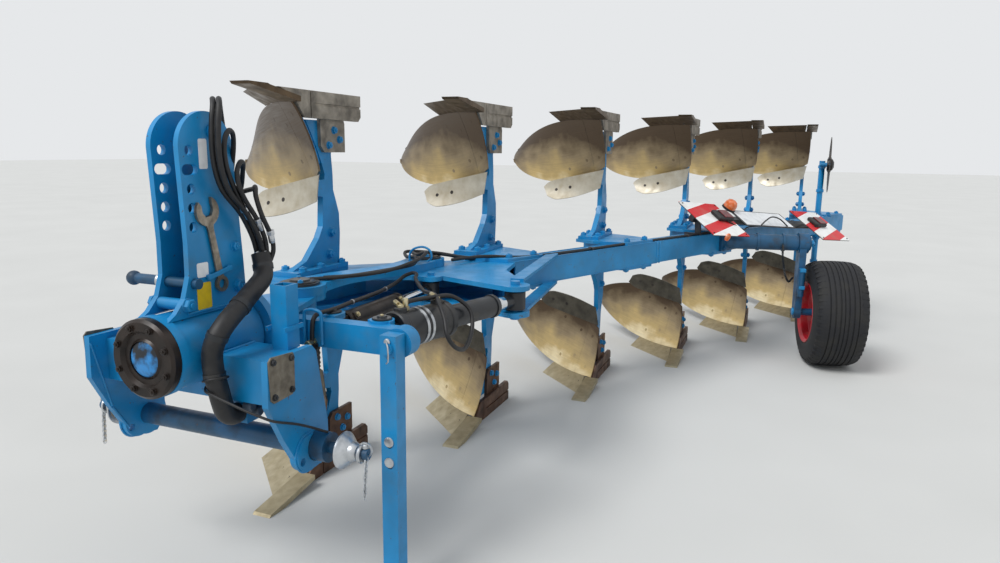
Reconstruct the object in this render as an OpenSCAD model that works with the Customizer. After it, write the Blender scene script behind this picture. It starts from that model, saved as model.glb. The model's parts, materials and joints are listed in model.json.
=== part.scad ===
// Six-furrow mounted reversible plough, parked on its stand, wheel and lower shares.
// The origin is the middle of the lower-link crossbar, +X the way of travel, +Y left, +Z up.

/* [Stance] */
// Height of the lower-link axis above the ground
hitch_height = 530; // [480:10:600]
// Height of the turnover axis above the ground, which is also how far a share tip lies from it
axis_height = 850; // [830:10:880]

/* [Hitch] */
// Distance between the two lower-link balls
ball_spacing = 1010; // [980:10:1040]
// Diameter of the crossbar tube
crossbar_d = 74; // [66:2:84]
// Diameter of the lower-link pins
hitch_pin_d = 36.6; // [34:0.2:38]
// Diameter of the lower-link balls
hitch_ball_d = 64; // [58:1:70]
// Distance between the outer faces of the two cheeks
cheek_span = 730; // [700:10:760]
// Thickness of a cheek plate
cheek_t = 22; // [16:1:28]

/* [Headstock] */
// Outer diameter of the turnover housing
housing_d = 236; // [220:4:250]
// Length of the turnover housing behind the origin
housing_back = 78; // [70:1:80]
// Length of the turnover housing ahead of the origin
housing_front = 280; // [260:5:300]
// Thickness of the greased front ring
ring_t = 32; // [24:2:40]
// Height of the tower top above the turnover axis
tower_h = 720; // [680:10:760]
// Radius of the round tower top
tower_r = 110; // [100:2:120]
// Thickness of a tower plate
tower_t = 18; // [14:1:22]
// Clear width between the two tower plates
tower_gap = 88; // [84:1:100]
// Diameter of the top-link pin and its holes
top_pin_d = 32; // [28:1:34]
// Distance between two holes in the tower
top_hole_pitch = 57; // [50:1:60]
// Height of the cross box
box_h = 140; // [120:5:150]
// Length of the cross box along the travel
box_l = 165; // [140:5:180]

/* [Turning frame] */
// Diameter of the hollow turnover shaft
shaft_d = 150; // [130:2:160]
// Bore of the hollow turnover shaft
shaft_bore = 90; // [70:2:100]
// Distance of the swing pivot behind the origin
pivot_back = 430; // [420:5:450]
// Diameter of the two swing pivot pins
pivot_d = 80; // [60:2:90]
// Thickness of a carrier plate
carrier_t = 20; // [16:1:25]
// Distance of the stand pivot from the turnover axis
stand_out = 585; // [570:5:600]
// Width of the square stand leg
stand_w = 58; // [50:1:62]

/* [Beam] */
// Angle between the beam and the travel
beam_angle = 23.58; // [22.5:0.1:24.5]
// Distance from one body to the next along the beam
body_spacing = 1000; // [960:10:1040]
// Number of body pairs
bodies = 6; // [6:1:6]
// Width and height of the square beam
beam_w = 130; // [120:2:140]
// Wall of the beam tube
beam_wall = 10; // [6:1:14]
// Thickness of a swing arm
arm_t = 35; // [28:1:42]
// Thickness of a console plate
console_t = 18; // [14:1:22]

/* [Body] */
// Working width of the share from the landside to its wing
share_w = 420; // [400:5:430]
// Angle between the share edge and the travel
share_angle = 46; // [44:0.5:48]
// How far the mouldboard reaches behind the point
board_l = 960; // [930:10:980]
// How far the mouldboard reaches to the furrow side
board_w = 835; // [810:5:850]
// Greatest height of the mouldboard over the sole
board_h = 433; // [420:1:440]
// Thickness of the mouldboard
board_t = 8; // [6:1:10]
// Width of the chisel point
point_w = 84; // [76:1:86]
// Thickness of a leg
leg_t = 29; // [24:1:34]
// Height of a landside
landside_h = 118; // [110:1:122]
// Distance of the landside's heel behind the point
landside_l = 790; // [740:10:820]

/* [Wheel] */
// Outer diameter of the tyre
tyre_d = 730; // [700:10:740]
// Width of the tyre
tyre_w = 340; // [320:5:350]
// Diameter of the rim
rim_d = 406; // [400:1:412]
// Turn of the wheel out of the travel
wheel_turn = 12; // [8:1:15]
// Diameter of a disc coulter
disc_d = 450; // [420:10:480]

/* [Hidden] */
$fn = 48;
fit = 0.3;
pin_play = 0.05;
big = 3000;
axis_z = axis_height - hitch_height;
body_drop = axis_height;
pitch_x = body_spacing * cos(beam_angle);
pitch_y = body_spacing * sin(beam_angle);
// Place of the first share tip
tip_x = -337;
tip_y = -118;

// Frames

module at_axis() translate([0, 0, axis_z]) children();

module along_beam() {
    translate([tip_x, tip_y, axis_z]) rotate([0, 0, 180 - beam_angle]) children();
}

function beam_point(k, r) = [
    tip_x - k * cos(beam_angle) - r * sin(beam_angle),
    tip_y + k * sin(beam_angle) - r * cos(beam_angle)
];

module at_bodies(side = 1) {
    for (i = [0 : bodies - 1])
        translate([tip_x - i * pitch_x, tip_y + i * pitch_y, axis_z])
            mirror([0, 0, side > 0 ? 0 : 1])
                translate([0, 0, -body_drop]) children();
}

module both_bodies() {
    at_bodies(1) children();
    at_bodies(-1) children();
}

module above_and_below() {
    children();
    mirror([0, 0, 1]) children();
}

module bar_x(x0, x1, d) translate([x0, 0, 0]) rotate([0, 90, 0]) cylinder(d = d, h = x1 - x0);
module bar_y(y0, y1, d) translate([0, y0, 0]) rotate([-90, 0, 0]) cylinder(d = d, h = y1 - y0);
module bar_z(z0, z1, d) translate([0, 0, z0]) cylinder(d = d, h = z1 - z0);
module block(x0, x1, y0, y1, z0, z1) translate([x0, y0, z0]) cube([x1 - x0, y1 - y0, z1 - z0]);
// A plate in the XZ plane whose outline is given in x and z, from y0 to y1
module side_plate(points, y0, y1) {
    translate([0, y1, 0]) rotate([90, 0, 0]) linear_extrude(y1 - y0) polygon(points);
}

// Headstock

cheek_y = cheek_span / 2;
collar_w = 60;
collar_d = 96;
pin_end = ball_spacing / 2 + 60;

module crossbar() color("#1877c0") {
    bar_y(-cheek_y - collar_w, cheek_y + collar_w, crossbar_d);
    for (s = [-1, 1]) scale([1, s, 1]) bar_y(cheek_y + collar_w - 5, pin_end, hitch_pin_d);
    for (s = [-1, 1]) mirror([0, s < 0 ? 1 : 0, 0]) bar_y(cheek_y + 2, cheek_y + collar_w, collar_d);
}

ball_w = 45;
cup_d = 118;
ball_angle = asin(ball_w / hitch_ball_d);
ball_profile = concat(
    [[hitch_pin_d / 2 + fit, -ball_w / 2]],
    [for (i = [0 : 6]) let (a = -ball_angle + i * ball_angle / 6) hitch_ball_d / 2 * [cos(a), sin(a)]],
    [[cup_d / 2 - 12, 12], [cup_d / 2, 26], [cup_d / 2, 32], [cup_d / 2 - 10, 32]],
    [[30, 24], [hitch_pin_d / 2 + fit, 24]]
);

module hitch_balls() color("#c8ccd0") for (s = [-1, 1]) translate([0, s * ball_spacing / 2, 0])
    rotate([s > 0 ? 90 : -90, 0, 0]) rotate_extrude() polygon(ball_profile);

cheek_top = axis_z + 8;
cheek_outline = [
    [208, cheek_top], [212, 190], [150, 70], [90, -25], [50, -62], [-30, -75],
    [-72, -30], [-72, 60], [-45, 190], [-22, cheek_top - 22], [-2, cheek_top]
];

module cheek() difference() {
    union() {
        side_plate(cheek_outline, cheek_y - cheek_t, cheek_y);
        bar_y(cheek_y - cheek_t, cheek_y, 150);
        translate([40, 0, -10]) bar_y(cheek_y - cheek_t, cheek_y + 10, 120);
    }
    bar_y(0, big, crossbar_d + 2 * fit);
    translate([76, 0, -28]) bar_y(0, big, 26);
    translate([0, cheek_y, 0]) bar_y(0, big, collar_d + 4);
}

module cheeks() color("#1877c0") for (s = [0, 1]) mirror([0, s, 0]) cheek();

box_back = -20;
box_top = axis_z - 12;
box_y = cheek_y - cheek_t - fit;

post_w = 60;
post_x = -8;
post_y = 262;
// Block under the cross box that takes the end of the hose sleeve
hose_block = [[62, 120], [140, 204]];
hose_block_z = 88;

module guide_post() translate([post_x, post_y, box_top]) {
    difference() {
        block(-post_w / 2, post_w / 2, -post_w / 2, post_w / 2, -1, 205);
        block(-post_w / 2 + 8, post_w / 2 - 8, -post_w / 2 + 8, post_w / 2 - 8, 20, 300);
    }
    for (s = [-1, 1]) translate([0, s * (post_w / 2 + 3.9), 0])
        block(-post_w / 2 - 12, post_w / 2 + 20, -4, 4, 62, 76);
}

module cross_box() color("#1877c0") {
    difference() {
        block(box_back, box_back + box_l, -box_y, box_y, box_top - box_h, box_top);
        at_axis() bar_x(-big, big, housing_d + 2 * fit);
    }
    guide_post();
    block(
        hose_block[0][0], hose_block[0][1], hose_block[1][0], hose_block[1][1],
        hose_block_z, box_top - box_h + 1
    );
}

module turn_housing() color("#1877c0") at_axis() difference() {
    union() {
        bar_x(-housing_back, housing_front, housing_d);
        bar_x(housing_front - 30, housing_front, housing_d + 10);
    }
    bar_x(-big, big, shaft_d + 2 * pin_play);
}

module front_ring() color("#2b2320") at_axis() translate([housing_front + fit, 0, 0]) rotate([0, 90, 0])
    rotate_extrude() polygon([
        [55, 0], [housing_d / 2 + 3, 0], [housing_d / 2 + 3, ring_t - 8], [housing_d / 2 - 6, ring_t],
        [86, ring_t], [78, ring_t - 12], [62, ring_t - 12], [55, ring_t - 6]
    ]);

tower_x = 75;
tower_front = tower_x + tower_r;
tower_back = tower_x - tower_r;
tower_mid_z = tower_h - tower_r;
top_hole_x = 145;
top_hole_z = tower_h - 116;
top_pin_z = 205;
turnover_x = 32;
turnover_top = 470;
tower_outline = [
    [tower_front, tower_mid_z], [tower_front - 12, 330], [tower_front - 10, 230], [tower_front + 12, 165],
    [tower_front + 50, 125], [270, 105], [270, 60], [-66, 60], [-66, 130], [-60, 250], [tower_back, tower_mid_z]
];
// The holes of the tower: place along the travel, step down the row, diameter
tower_holes = [[0, 0, 1], [0, 2, 1], [0, 3, 1], [0, 4, 1]];

module tower_plate() at_axis() difference() {
    union() {
        side_plate(tower_outline, tower_gap / 2, tower_gap / 2 + tower_t);
        translate([tower_x, 0, tower_mid_z]) bar_y(tower_gap / 2, tower_gap / 2 + tower_t, 2 * tower_r);
    }
    bar_x(-big, big, housing_d + 10 + 2 * fit);
    for (h = tower_holes)
        translate([top_hole_x + h[0], 0, top_hole_z - h[1] * top_hole_pitch]) bar_y(0, big, top_pin_d + 0.4);
    translate([0, 0, top_hole_z - top_hole_pitch]) {
        block(top_hole_x - 15, top_hole_x + 15, 0, big, -top_pin_d / 2, top_pin_d / 2);
        for (s = [-15, 15]) translate([top_hole_x + s, 0, 0]) bar_y(0, big, top_pin_d);
    }
    translate([top_hole_x + 10, 0, top_pin_z]) bar_y(0, big, top_pin_d + 0.4);
    translate([tower_x - 30, 0, tower_h - 60]) bar_y(0, big, 50 + 2 * fit);
}

module tower() color("#1877c0") for (s = [0, 1]) mirror([0, s, 0]) tower_plate();

// Spacers between the tower plates: place along the travel, height over the axis, diameter
spacers = [[-21, 480, 24], [-21, 300, 24], [-30, 170, 40], [188, 145, 36]];

module tower_spacers() color("#1877c0") at_axis() {
    for (s = spacers) translate([s[0], 0, s[1]]) bar_y(-tower_gap / 2 + fit, tower_gap / 2 - fit, s[2]);
    eye_end = tower_gap / 2 + tower_t + 8;
    translate([tower_x - 30, 0, tower_h - 60]) bar_y(-eye_end, eye_end, 50);
}

module top_link_pin() color("#b9bcc2") at_axis() translate([top_hole_x + 10, 0, top_pin_z]) {
    bar_y(-175, tower_gap / 2 + tower_t + 18, top_pin_d);
    translate([0, -185, 0]) sphere(d = 46);
}

module turnover_cylinder() color("#20242a") at_axis() translate([turnover_x, 0, 0]) {
    bar_z(housing_d / 2 + 30, turnover_top - 40, 72);
    bar_z(turnover_top - 42, turnover_top, 44);
    translate([0, 0, turnover_top]) {
        bar_y(-26, 26, 64);
        bar_y(-tower_gap / 2 + fit, tower_gap / 2 - fit, 36);
    }
    bar_z(housing_d / 2 + 0.5, housing_d / 2 + 32, 44);
    block(-112, -20, -26, 26, 388, 425 - fit);
}

// A hose through the points of its route, d across
function unit(v) = v / norm(v);
function along(route, i) = unit(route[min(i + 1, len(route) - 1)] - route[max(i - 1, 0)]);
function square_to(v, t) = unit(v - (v * t) * t);

// The way to one side of each ring, carried along the route so that the hose doesn't twist
function ring_sides(route, i, s) =
    i == len(route) ? [] : let (t = square_to(s, along(route, i))) concat([t], ring_sides(route, i + 1, t));

module hose(route, d) {
    n = len(route);
    m = 10;
    sides = ring_sides(route, 0, [0.1, 1, 0.2]);
    points = [for (i = [0 : n - 1]) for (j = [0 : m - 1])
        route[i] + d / 2 * (cos(j * 360 / m) * sides[i] + sin(j * 360 / m) * cross(along(route, i), sides[i]))];
    faces = concat(
        [[for (j = [0 : m - 1]) j], [for (j = [m - 1 : -1 : 0]) (n - 1) * m + j]],
        [for (i = [0 : n - 2]) for (j = [0 : m - 1]) let (k = (j + 1) % m, a = i * m, b = i * m + m) each [
            [a + j, b + j, b + k], [a + j, b + k, a + k]
        ]]
    );
    polyhedron(points, faces);
}

feed_hose_d = 18;
sleeve_d = 62;
// Up from the valve on the turnover cylinder, over the tower plate and down its rear edge
feed_route = [
    [-60, -12, 745], [-60, -12, 850], [-48, -4, 960], [-10, 22, 1045], [26, 52, 1078], [60, 84, 1056],
    [78, 92, 1000], [84, 94, 930], [76, 94, 865], [48, 94, 800], [-20, 96, 728], [-64, 98, 655],
    [-84, 98, 600], [-88, 98, 575]
];
// Round the turnover housing and in under the cross box
sleeve_route = [
    [-88, 110, 590], [-80, 124, 548], [-49, 145, 516], [20, 162, 487], [92, 176, 455], [160, 183, 420],
    [200, 181, 384], [208, 168, 345], [204, 160, 306], [202, 163, 262], [200, 172, 222], [192, 174, 182],
    [176, 172, 142], [150, 172, 122],
    [hose_block[0][1] + fit, 172, 122]
];

module feed_hoses() color("#1b1b1d") {
    for (i = [0, 1]) translate([0, 24 * i, 0]) hose(feed_route, feed_hose_d);
    hose(sleeve_route, sleeve_d);
}

gear_hose_d = 16;
// From the side arm past the swing arm to its hook, and back in a loose loop to the swing cylinder
loop_route = [
    [-151.7, 262, 292], [-144, 262, 292], [-139, 264, 304], [-138, 267, 340], [-141, 269, 367],
    [-156, 272, 383],
    [-190, 274, 386], [-274, 265, 380], [-403, 250, 378], [-550, 235, 374], [-696, 215, 372],
    [-836, 196, 376], [-930, 196, 394], [-900, 225, 400], [-841, 262, 392],
    [-679, 400, 384], [-540, 520, 404], [-420, 600, 398], [-370, 645, 360], [-340, 672, 305], [-387, 684, 256],
    [-480, 676, 236], [-560, 664, 285], [-590, 640, 350], [-560, 580, 400], [-460, 545, 410], [-372, 520, 414],
    [-345, 512, 410], [-338, 510, 398], [-338, 510, 385.3]
];
module gear_hoses() color("#1b1b1d") hose(loop_route, gear_hose_d);

// Turning frame

flange_x = -housing_back - 5;
flange_t = 30;
plate_in = beam_w / 2 - carrier_t;
plate_out = beam_w / 2;
pivot = [-pivot_back, 0];
washer_d = 150;
washer_t = 9;
arm_top = plate_out + fit + arm_t;
pin_top = arm_top + fit + washer_t;

module turn_shaft() color("#1d5f99") at_axis() difference() {
    union() {
        bar_x(flange_x - 1, housing_front - 1, shaft_d);
        bar_x(flange_x - flange_t, flange_x, 300);
    }
    bar_x(-big, big, shaft_bore);
}

carrier_front = flange_x - flange_t - fit;
carrier_plan = [
    [carrier_front, -150], [carrier_front, 150], [carrier_front - 100, 150],
    [pivot[0] + 30, 92], [pivot[0] + 30, -92], [carrier_front - 100, -150]
];

module carrier() color("#1877c0") at_axis() difference() {
    union() {
        above_and_below() translate([0, 0, plate_in]) {
            linear_extrude(carrier_t) polygon(carrier_plan);
            translate([pivot[0], 0, 0]) cylinder(r = 95, h = carrier_t);
        }
        block(carrier_front - 22, carrier_front, -150, 150, -plate_in - 1, plate_in + 1);
        block(pivot[0] + 45, carrier_front - 20, -20, 20, -plate_in - 1, plate_in + 1);
        translate([pivot[0], 0, 0]) bar_z(-plate_in - 1, plate_in + 1, pivot_d + 40);
    }
    translate([pivot[0], 0, 0]) bar_z(-big, big, pivot_d + 2 * pin_play);
}

module pin_with_washers() {
    bar_z(-pin_top, pin_top, pivot_d);
    above_and_below() {
        bar_z(arm_top + fit, pin_top, washer_d);
        bar_z(pin_top - 1, pin_top + 10, 46);
    }
}

module pivot_pin() color("#20242a") at_axis() translate([pivot[0], 0, 0]) pin_with_washers();

arm_x0 = -212;
arm_x1 = -152;
swing_front = [-232, 480];
width_front = [-262, 265];
lug_r = 42;
stand_pin_d = 40;

module lug_pair(place, root_x, w, r = lug_r) {
    above_and_below() translate([0, 0, w / 2]) {
        translate([place[0], place[1], 0]) cylinder(r = r, h = 18);
        block(place[0], root_x, place[1] - r, place[1] + r, 0, 18);
    }
}

module side_arm() color("#1877c0") at_axis() {
    difference() {
        union() {
            block(arm_x0, arm_x1, 30, stand_out, -plate_in + fit, plate_in - fit);
            translate([0, stand_out, 0]) bar_x(arm_x0, arm_x1, 100);
            lug_pair(swing_front, arm_x0 + 1, 70);
            lug_pair(width_front, arm_x0 + 1, 64);
        }
        translate([swing_front[0], swing_front[1], 0]) {
            bar_z(-big, big, 44 + 2 * pin_play);
            bar_z(-35, 35, 2 * lug_r + 12);
        }
        translate([width_front[0], width_front[1], 0]) bar_z(-big, big, 36 + 2 * pin_play);
        translate([0, stand_out, 0]) bar_x(-big, big, stand_pin_d + 2 * pin_play);
    }
}

stand_x0 = arm_x1 + 5;
foot_w = 130;

module stand_leg() color("#1877c0") {
    at_axis() translate([0, stand_out, 0]) {
        bar_x(arm_x0 - 15, stand_x0 + stand_w + 10, stand_pin_d);
        bar_x(arm_x0 - 15, arm_x0 - 5, 56);
        difference() {
            block(stand_x0, stand_x0 + stand_w, -stand_w / 2, stand_w / 2, -axis_height + 12, 40);
            for (z = [-320, -390]) translate([0, 0, z]) bar_x(-big, big, 24);
        }
        translate([stand_x0 + stand_w / 2, 0, -axis_height])
            block(-foot_w / 2, foot_w / 2, -foot_w / 2, foot_w / 2, 0, 14);
    }
}

// Swing gear and beam

beam_pin_k = 916;
beam_pin_r = 146;
beam_pin_at = beam_point(beam_pin_k, beam_pin_r);
swing_rear_k = 884;
swing_rear_r = -489;
swing_pin_d = 40;
width_pin_d = 32;
rod_play = 3;
swing_rear = beam_point(swing_rear_k, swing_rear_r);
width_rear_k = 760;
width_rear_r = -90;
width_rear = beam_point(width_rear_k, width_rear_r);

arm_dx = beam_pin_at[0] - pivot[0];
arm_dy = beam_pin_at[1] - pivot[1];
arm_len = sqrt(arm_dx * arm_dx + arm_dy * arm_dy);
arm_dir = atan2(arm_dy, arm_dx);
arm_half = 66;
arm_bend = 34;
arm_steps = 12;
function arm_side(t) = arm_bend * sin(360 * t);
function arm_edge(t) = arm_half + 14 * cos(360 * t);
arm_outline = concat(
    [for (i = [0 : arm_steps]) let (t = i / arm_steps) [arm_len * t, arm_side(t) + arm_edge(t)]],
    [for (i = [arm_steps : -1 : 0]) let (t = i / arm_steps) [arm_len * t, arm_side(t) - arm_edge(t)]]
);

module swing_arms() color("#1877c0") at_axis() above_and_below()
    translate([pivot[0], pivot[1], plate_out + fit]) rotate([0, 0, arm_dir]) difference() {
        union() {
            linear_extrude(arm_t) polygon(arm_outline);
            cylinder(r = 98, h = arm_t);
            translate([arm_len, 0, 0]) cylinder(r = 92, h = arm_t);
        }
        translate([0, 0, -1]) cylinder(d = pivot_d + 2 * pin_play, h = arm_t + 2);
        translate([arm_len, 0, -1]) cylinder(d = pivot_d + 2 * pin_play, h = arm_t + 2);
    }

module beam_pin() color("#20242a") at_axis() translate([beam_pin_at[0], beam_pin_at[1], 0]) pin_with_washers();

front_end = 1320;
joint_k = 2590;
beam_end = (bodies - 1) * body_spacing + 540;
leg_k = 440;
fork_plan = [
    [174, 130], [174, 262], [440, 404], [640, 390], [1000, 235], [front_end, beam_w / 2 + 10],
    [front_end, -beam_w / 2], [1120, -200], [945, -489], [823, -489], [800, -250], [790, -125], [720, -120],
    [690, -40], [560, 70], [300, 112]
];

module beam_front() color("#1877c0") along_beam() difference() {
    union() {
        above_and_below() {
            translate([0, 0, plate_in]) {
                linear_extrude(carrier_t) polygon(fork_plan);
                translate([swing_rear_k, swing_rear_r, 0]) cylinder(r = 62, h = carrier_t);
                translate([width_rear_k, width_rear_r, 0]) cylinder(r = 52, h = carrier_t);
            }
            translate([leg_k, 0, plate_out - 1]) linear_extrude(console_t + 1)
                polygon([[-266, 132], [-262, 258], [0, 400], [90, 396], [140, 290], [60, 262]]);
        }
        translate([0, 0, -plate_in - 1]) linear_extrude(2 * plate_in + 2)
            polygon([
                [200, 160], [200, 250], [440, 370], [640, 330], [front_end, 60], [front_end, -30], [640, 240]
            ]);
        translate([930, -390, 0]) rotate([0, 0, 54]) block(0, 320, -14, 14, -plate_in - 1, plate_in + 1);
        translate([beam_pin_k, beam_pin_r, 0]) bar_z(-plate_in - 1, plate_in + 1, pivot_d + 44);
        translate([swing_rear_k, swing_rear_r, 0]) bar_z(-plate_out - 16, plate_out + 16, swing_pin_d);
        translate([width_rear_k, width_rear_r, 0]) bar_z(-plate_out - 14, plate_out + 14, width_pin_d);
    }
    translate([beam_pin_k, beam_pin_r, 0]) bar_z(-big, big, pivot_d + 2 * pin_play);
}

module beam_bar(k0, k1, w) block(k0, k1, -w / 2, w / 2, -w / 2, w / 2);

module beam_tube(k0, k1) difference() {
    beam_bar(k0, k1, beam_w);
    beam_bar(k0 - 1, k1 + 1, beam_w - 2 * beam_wall);
}

module beam_middle() color("#1877c0") along_beam() beam_tube(front_end + fit, joint_k - fit / 2);

module beam_rear() color("#1877c0") along_beam() {
    beam_tube(joint_k + fit / 2, beam_end);
    beam_bar(beam_end + fit, beam_end + 12, beam_w);
}

brace_from = [935, -450];
brace_to = [1612, -52];
brace_w = 58;
brace_t = 14;

module cylinder_braces() color("#1877c0") along_beam() above_and_below() {
    d = brace_to - brace_from;
    translate([brace_from[0], brace_from[1], plate_out + fit]) rotate([0, 0, atan2(d[1], d[0])]) {
        block(0, norm(d), -brace_w / 2, brace_w / 2, 0, brace_t);
        translate([norm(d), 0, 0]) cylinder(d = brace_w, h = brace_t);
    }
}

console_z = plate_out + fit;
console_plan = [
    [-170, -60], [90, -60], [140, 90], [140, 300], [95, 404], [40, 404], [-260, 258], [-266, 120]
];

module consoles() color("#1877c0") along_beam()
    for (i = [1 : bodies - 1]) translate([i * body_spacing + leg_k, 0, 0]) {
        above_and_below() translate([0, 0, console_z]) linear_extrude(console_t) polygon(console_plan);
        block(-70, 70, beam_w / 2 + 3, 350, -console_z - 1, console_z + 1);
    }

// Plough bodies: x ahead of the point, y towards the land, z over the sole

function mix(a, b, t) = a + (b - a) * t;
function curve(c, t) =
    pow(1 - t, 3) * c[0] + 3 * t * pow(1 - t, 2) * c[1] + 3 * t * t * (1 - t) * c[2] + pow(t, 3) * c[3];
function sized(c) = [for (p = c) [p[0] * board_l / 960, p[1] * board_w / 835, p[2] * board_h / 433]];

// The four edges of the working face, each drawn by four control points
low_edge = sized([[-307, -56, 56], [-430, -290, 40], [-760, -600, 40], [-945, -800, 235]]);
top_edge = sized([[-478, -58, 335], [-715, -278, 509], [-684, -711, 451], [-915, -820, 305]]);
shin_edge = sized([[-307, -56, 56], [-350, -46, 105], [-440, -44, 235], [-478, -58, 335]]);
wing_edge = sized([[-945, -800, 235], [-975, -835, 255], [-965, -848, 290], [-915, -820, 305]]);

// A point of the working face: u runs from the shin to the wing, v from the low edge to the top
function face(u, v) = mix(curve(low_edge, u), curve(top_edge, u), v)
    + mix(curve(shin_edge, v), curve(wing_edge, v), u)
    - mix(mix(low_edge[0], low_edge[3], u), mix(top_edge[0], top_edge[3], u), v);

seam_step = 0.0012;
function seam_u(v) = mix(0.17, 0.1, v);
share_u0 = 0.058;
share_u1 = 0.41;
point_y0 = -3;
share_front = [-137, point_y0 - point_w - 6, 0];
share_tip = [share_front[0] - (share_w + share_front[1]) / tan(share_angle), -share_w, 0];
trash_low = sized([[-480, -60, 352], [-578, -497, 448]]);
trash_high = sized([[-489, -81, 468], [-508, -430, 553]]);

// Each kind of panel gives its point for a and b from 0 to 1
function spot(kind, a, b) =
    kind == "board" ? face(mix(seam_u(b) + seam_step, 1, a), b) :
    kind == "shin" ? face(seam_u(b) * a, b) :
    kind == "share" ?
        mix(mix(share_front, share_tip, a), curve(low_edge, mix(share_u0, share_u1, a)), b * 0.992) :
    kind == "frog" ? face(mix(0.037, 0.42, a), mix(0.1, 0.86, b)) :
    mix(mix(trash_low[0], trash_low[1], a), mix(trash_high[0], trash_high[1], a), b);

// The same point set back by d behind the face, never below the sole
function behind(kind, a, b, d) =
    let (e = 0.01, p = spot(kind, a, b), n = cross(spot(kind, a + e, b) - p, spot(kind, a, b + e) - p))
    let (q = p + d * n / norm(n)) [q[0], q[1], max(0, q[2])];

// How far ahead the back of the frog lies at height z and at y, found in a few steps
function back_x(z, y, d, a = 0.2, b = 0.5, n = 6) =
    let (e = 0.01, p = behind("frog", a, b, d))
    let (pa = (behind("frog", a + e, b, d) - p) / e, pb = (behind("frog", a, b + e, d) - p) / e)
    let (w = pa[1] * pb[2] - pa[2] * pb[1], dy = y - p[1], dz = z - p[2])
    let (next_a = a + (dy * pb[2] - dz * pb[1]) / w, next_b = b + (dz * pa[1] - dy * pa[2]) / w)
    n == 0 ? p[0] : back_x(z, y, d, next_a, next_b, n - 1);

// A curved panel of the body, from the depth front to the depth back behind its face
module panel(kind, front, back, na, nb) {
    w = na + 1;
    n = w * (nb + 1);
    layer = [for (d = [front, back]) for (j = [0 : nb]) for (i = [0 : na]) behind(kind, i / na, j / nb, d)];
    function at(i, j, l) = l * n + j * w + i;
    faces = concat(
        [for (j = [0 : nb - 1]) for (i = [0 : na - 1]) each [
            [at(i, j, 0), at(i + 1, j, 0), at(i + 1, j + 1, 0)],
            [at(i, j, 0), at(i + 1, j + 1, 0), at(i, j + 1, 0)],
            [at(i, j, 1), at(i + 1, j + 1, 1), at(i + 1, j, 1)],
            [at(i, j, 1), at(i, j + 1, 1), at(i + 1, j + 1, 1)]
        ]],
        [for (i = [0 : na - 1]) each [
            [at(i, 0, 0), at(i + 1, 0, 1), at(i + 1, 0, 0)],
            [at(i, 0, 0), at(i, 0, 1), at(i + 1, 0, 1)],
            [at(i, nb, 0), at(i + 1, nb, 0), at(i + 1, nb, 1)],
            [at(i, nb, 0), at(i + 1, nb, 1), at(i, nb, 1)]
        ]],
        [for (j = [0 : nb - 1]) each [
            [at(0, j, 0), at(0, j + 1, 0), at(0, j + 1, 1)],
            [at(0, j, 0), at(0, j + 1, 1), at(0, j, 1)],
            [at(na, j, 0), at(na, j + 1, 1), at(na, j + 1, 0)],
            [at(na, j, 0), at(na, j, 1), at(na, j + 1, 1)]
        ]]
    );
    polyhedron(layer, faces);
}

frog_t = 14;
frog_depth = board_t + 2.6;
back_of_frog = frog_depth + frog_t + 0.8;
point_back = -303 * board_l / 960;
point_top = 56 * board_h / 433;
trash_t = 6;

module mouldboards() color("#b7a27a") both_bodies() panel("board", 0, board_t, 10, 8);
module shins() color("#b7a27a") both_bodies() panel("shin", 0, board_t, 2, 6);
module shares() color("#6b5f4a") both_bodies() panel("share", 0, board_t, 3, 1);
module trashboards() color("#b9bcc2") both_bodies() panel("trash", 0, trash_t, 2, 1);

// The chisel point is a flat bar, bevelled at its tip
module points() color("#8c8478") both_bodies() side_plate([
    [0, 0], [-10, 10], [point_back, point_top], [point_back, point_top - 22], [-120, 4], [-108, 0]
], point_y0 - point_w, point_y0);

leg_y = -90;
leg_near = leg_y + leg_t / 2;
leg_far = leg_y - leg_t / 2;
leg_low = 120;
nose_y = [point_y0 - point_w, -61];

// The frog carries the point on a nose and the board on a curved web
module frogs() color("#1877c0") both_bodies() {
    panel("frog", frog_depth, frog_depth + frog_t, 3, 5);
    side_plate([
        [-170, 8], [point_back, point_top - 22 - fit], [point_back - 22, point_top - 16],
        [back_x(96, nose_y[0], frog_depth + 2), 96], [-470, 96], [-470, 22], [-178, 4]
    ], nose_y[0], nose_y[1]);
}

leg_base_z = body_drop - console_z - console_t - fit;
leg_top_x = [-640, -270];
leg_front = [for (z = [leg_low, 180, 240, 300, 350]) [back_x(z, leg_far, back_of_frog), z]];
leg_outline = concat(
    leg_front,
    [[-532, 420], [-528, 480], [-521, 579], [-490, 628], [-398, 717], [-310, leg_base_z - 22]],
    [[-270, leg_base_z], [-640, leg_base_z], [-642, 720], [-650, 620], [-647, 528], [-618, 450]],
    [[-607, 421], [-606, 349], [-598, 268], [-615, leg_low]]
);
// Depth of the trashboard's back at the leg
trash_back = mix(trash_low[0][0], trash_high[0][0], 0.5) - trash_t - 3.7;

module leg() {
    side_plate(leg_outline, leg_far, leg_near);
    side_plate([[-540, 372], [-540, 452], [trash_back, 442], [trash_back, 382]], leg_far, leg_near);
    block(leg_top_x[0], leg_top_x[1], leg_y - 62, leg_y + 62, leg_base_z - 18, leg_base_z);
}

module legs() color("#1877c0") both_bodies() leg();

landside_y = [-60, -40];
landside_front = [for (z = [62, landside_h - 4]) [back_x(z, landside_y[0], board_t + 3), z]];

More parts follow.
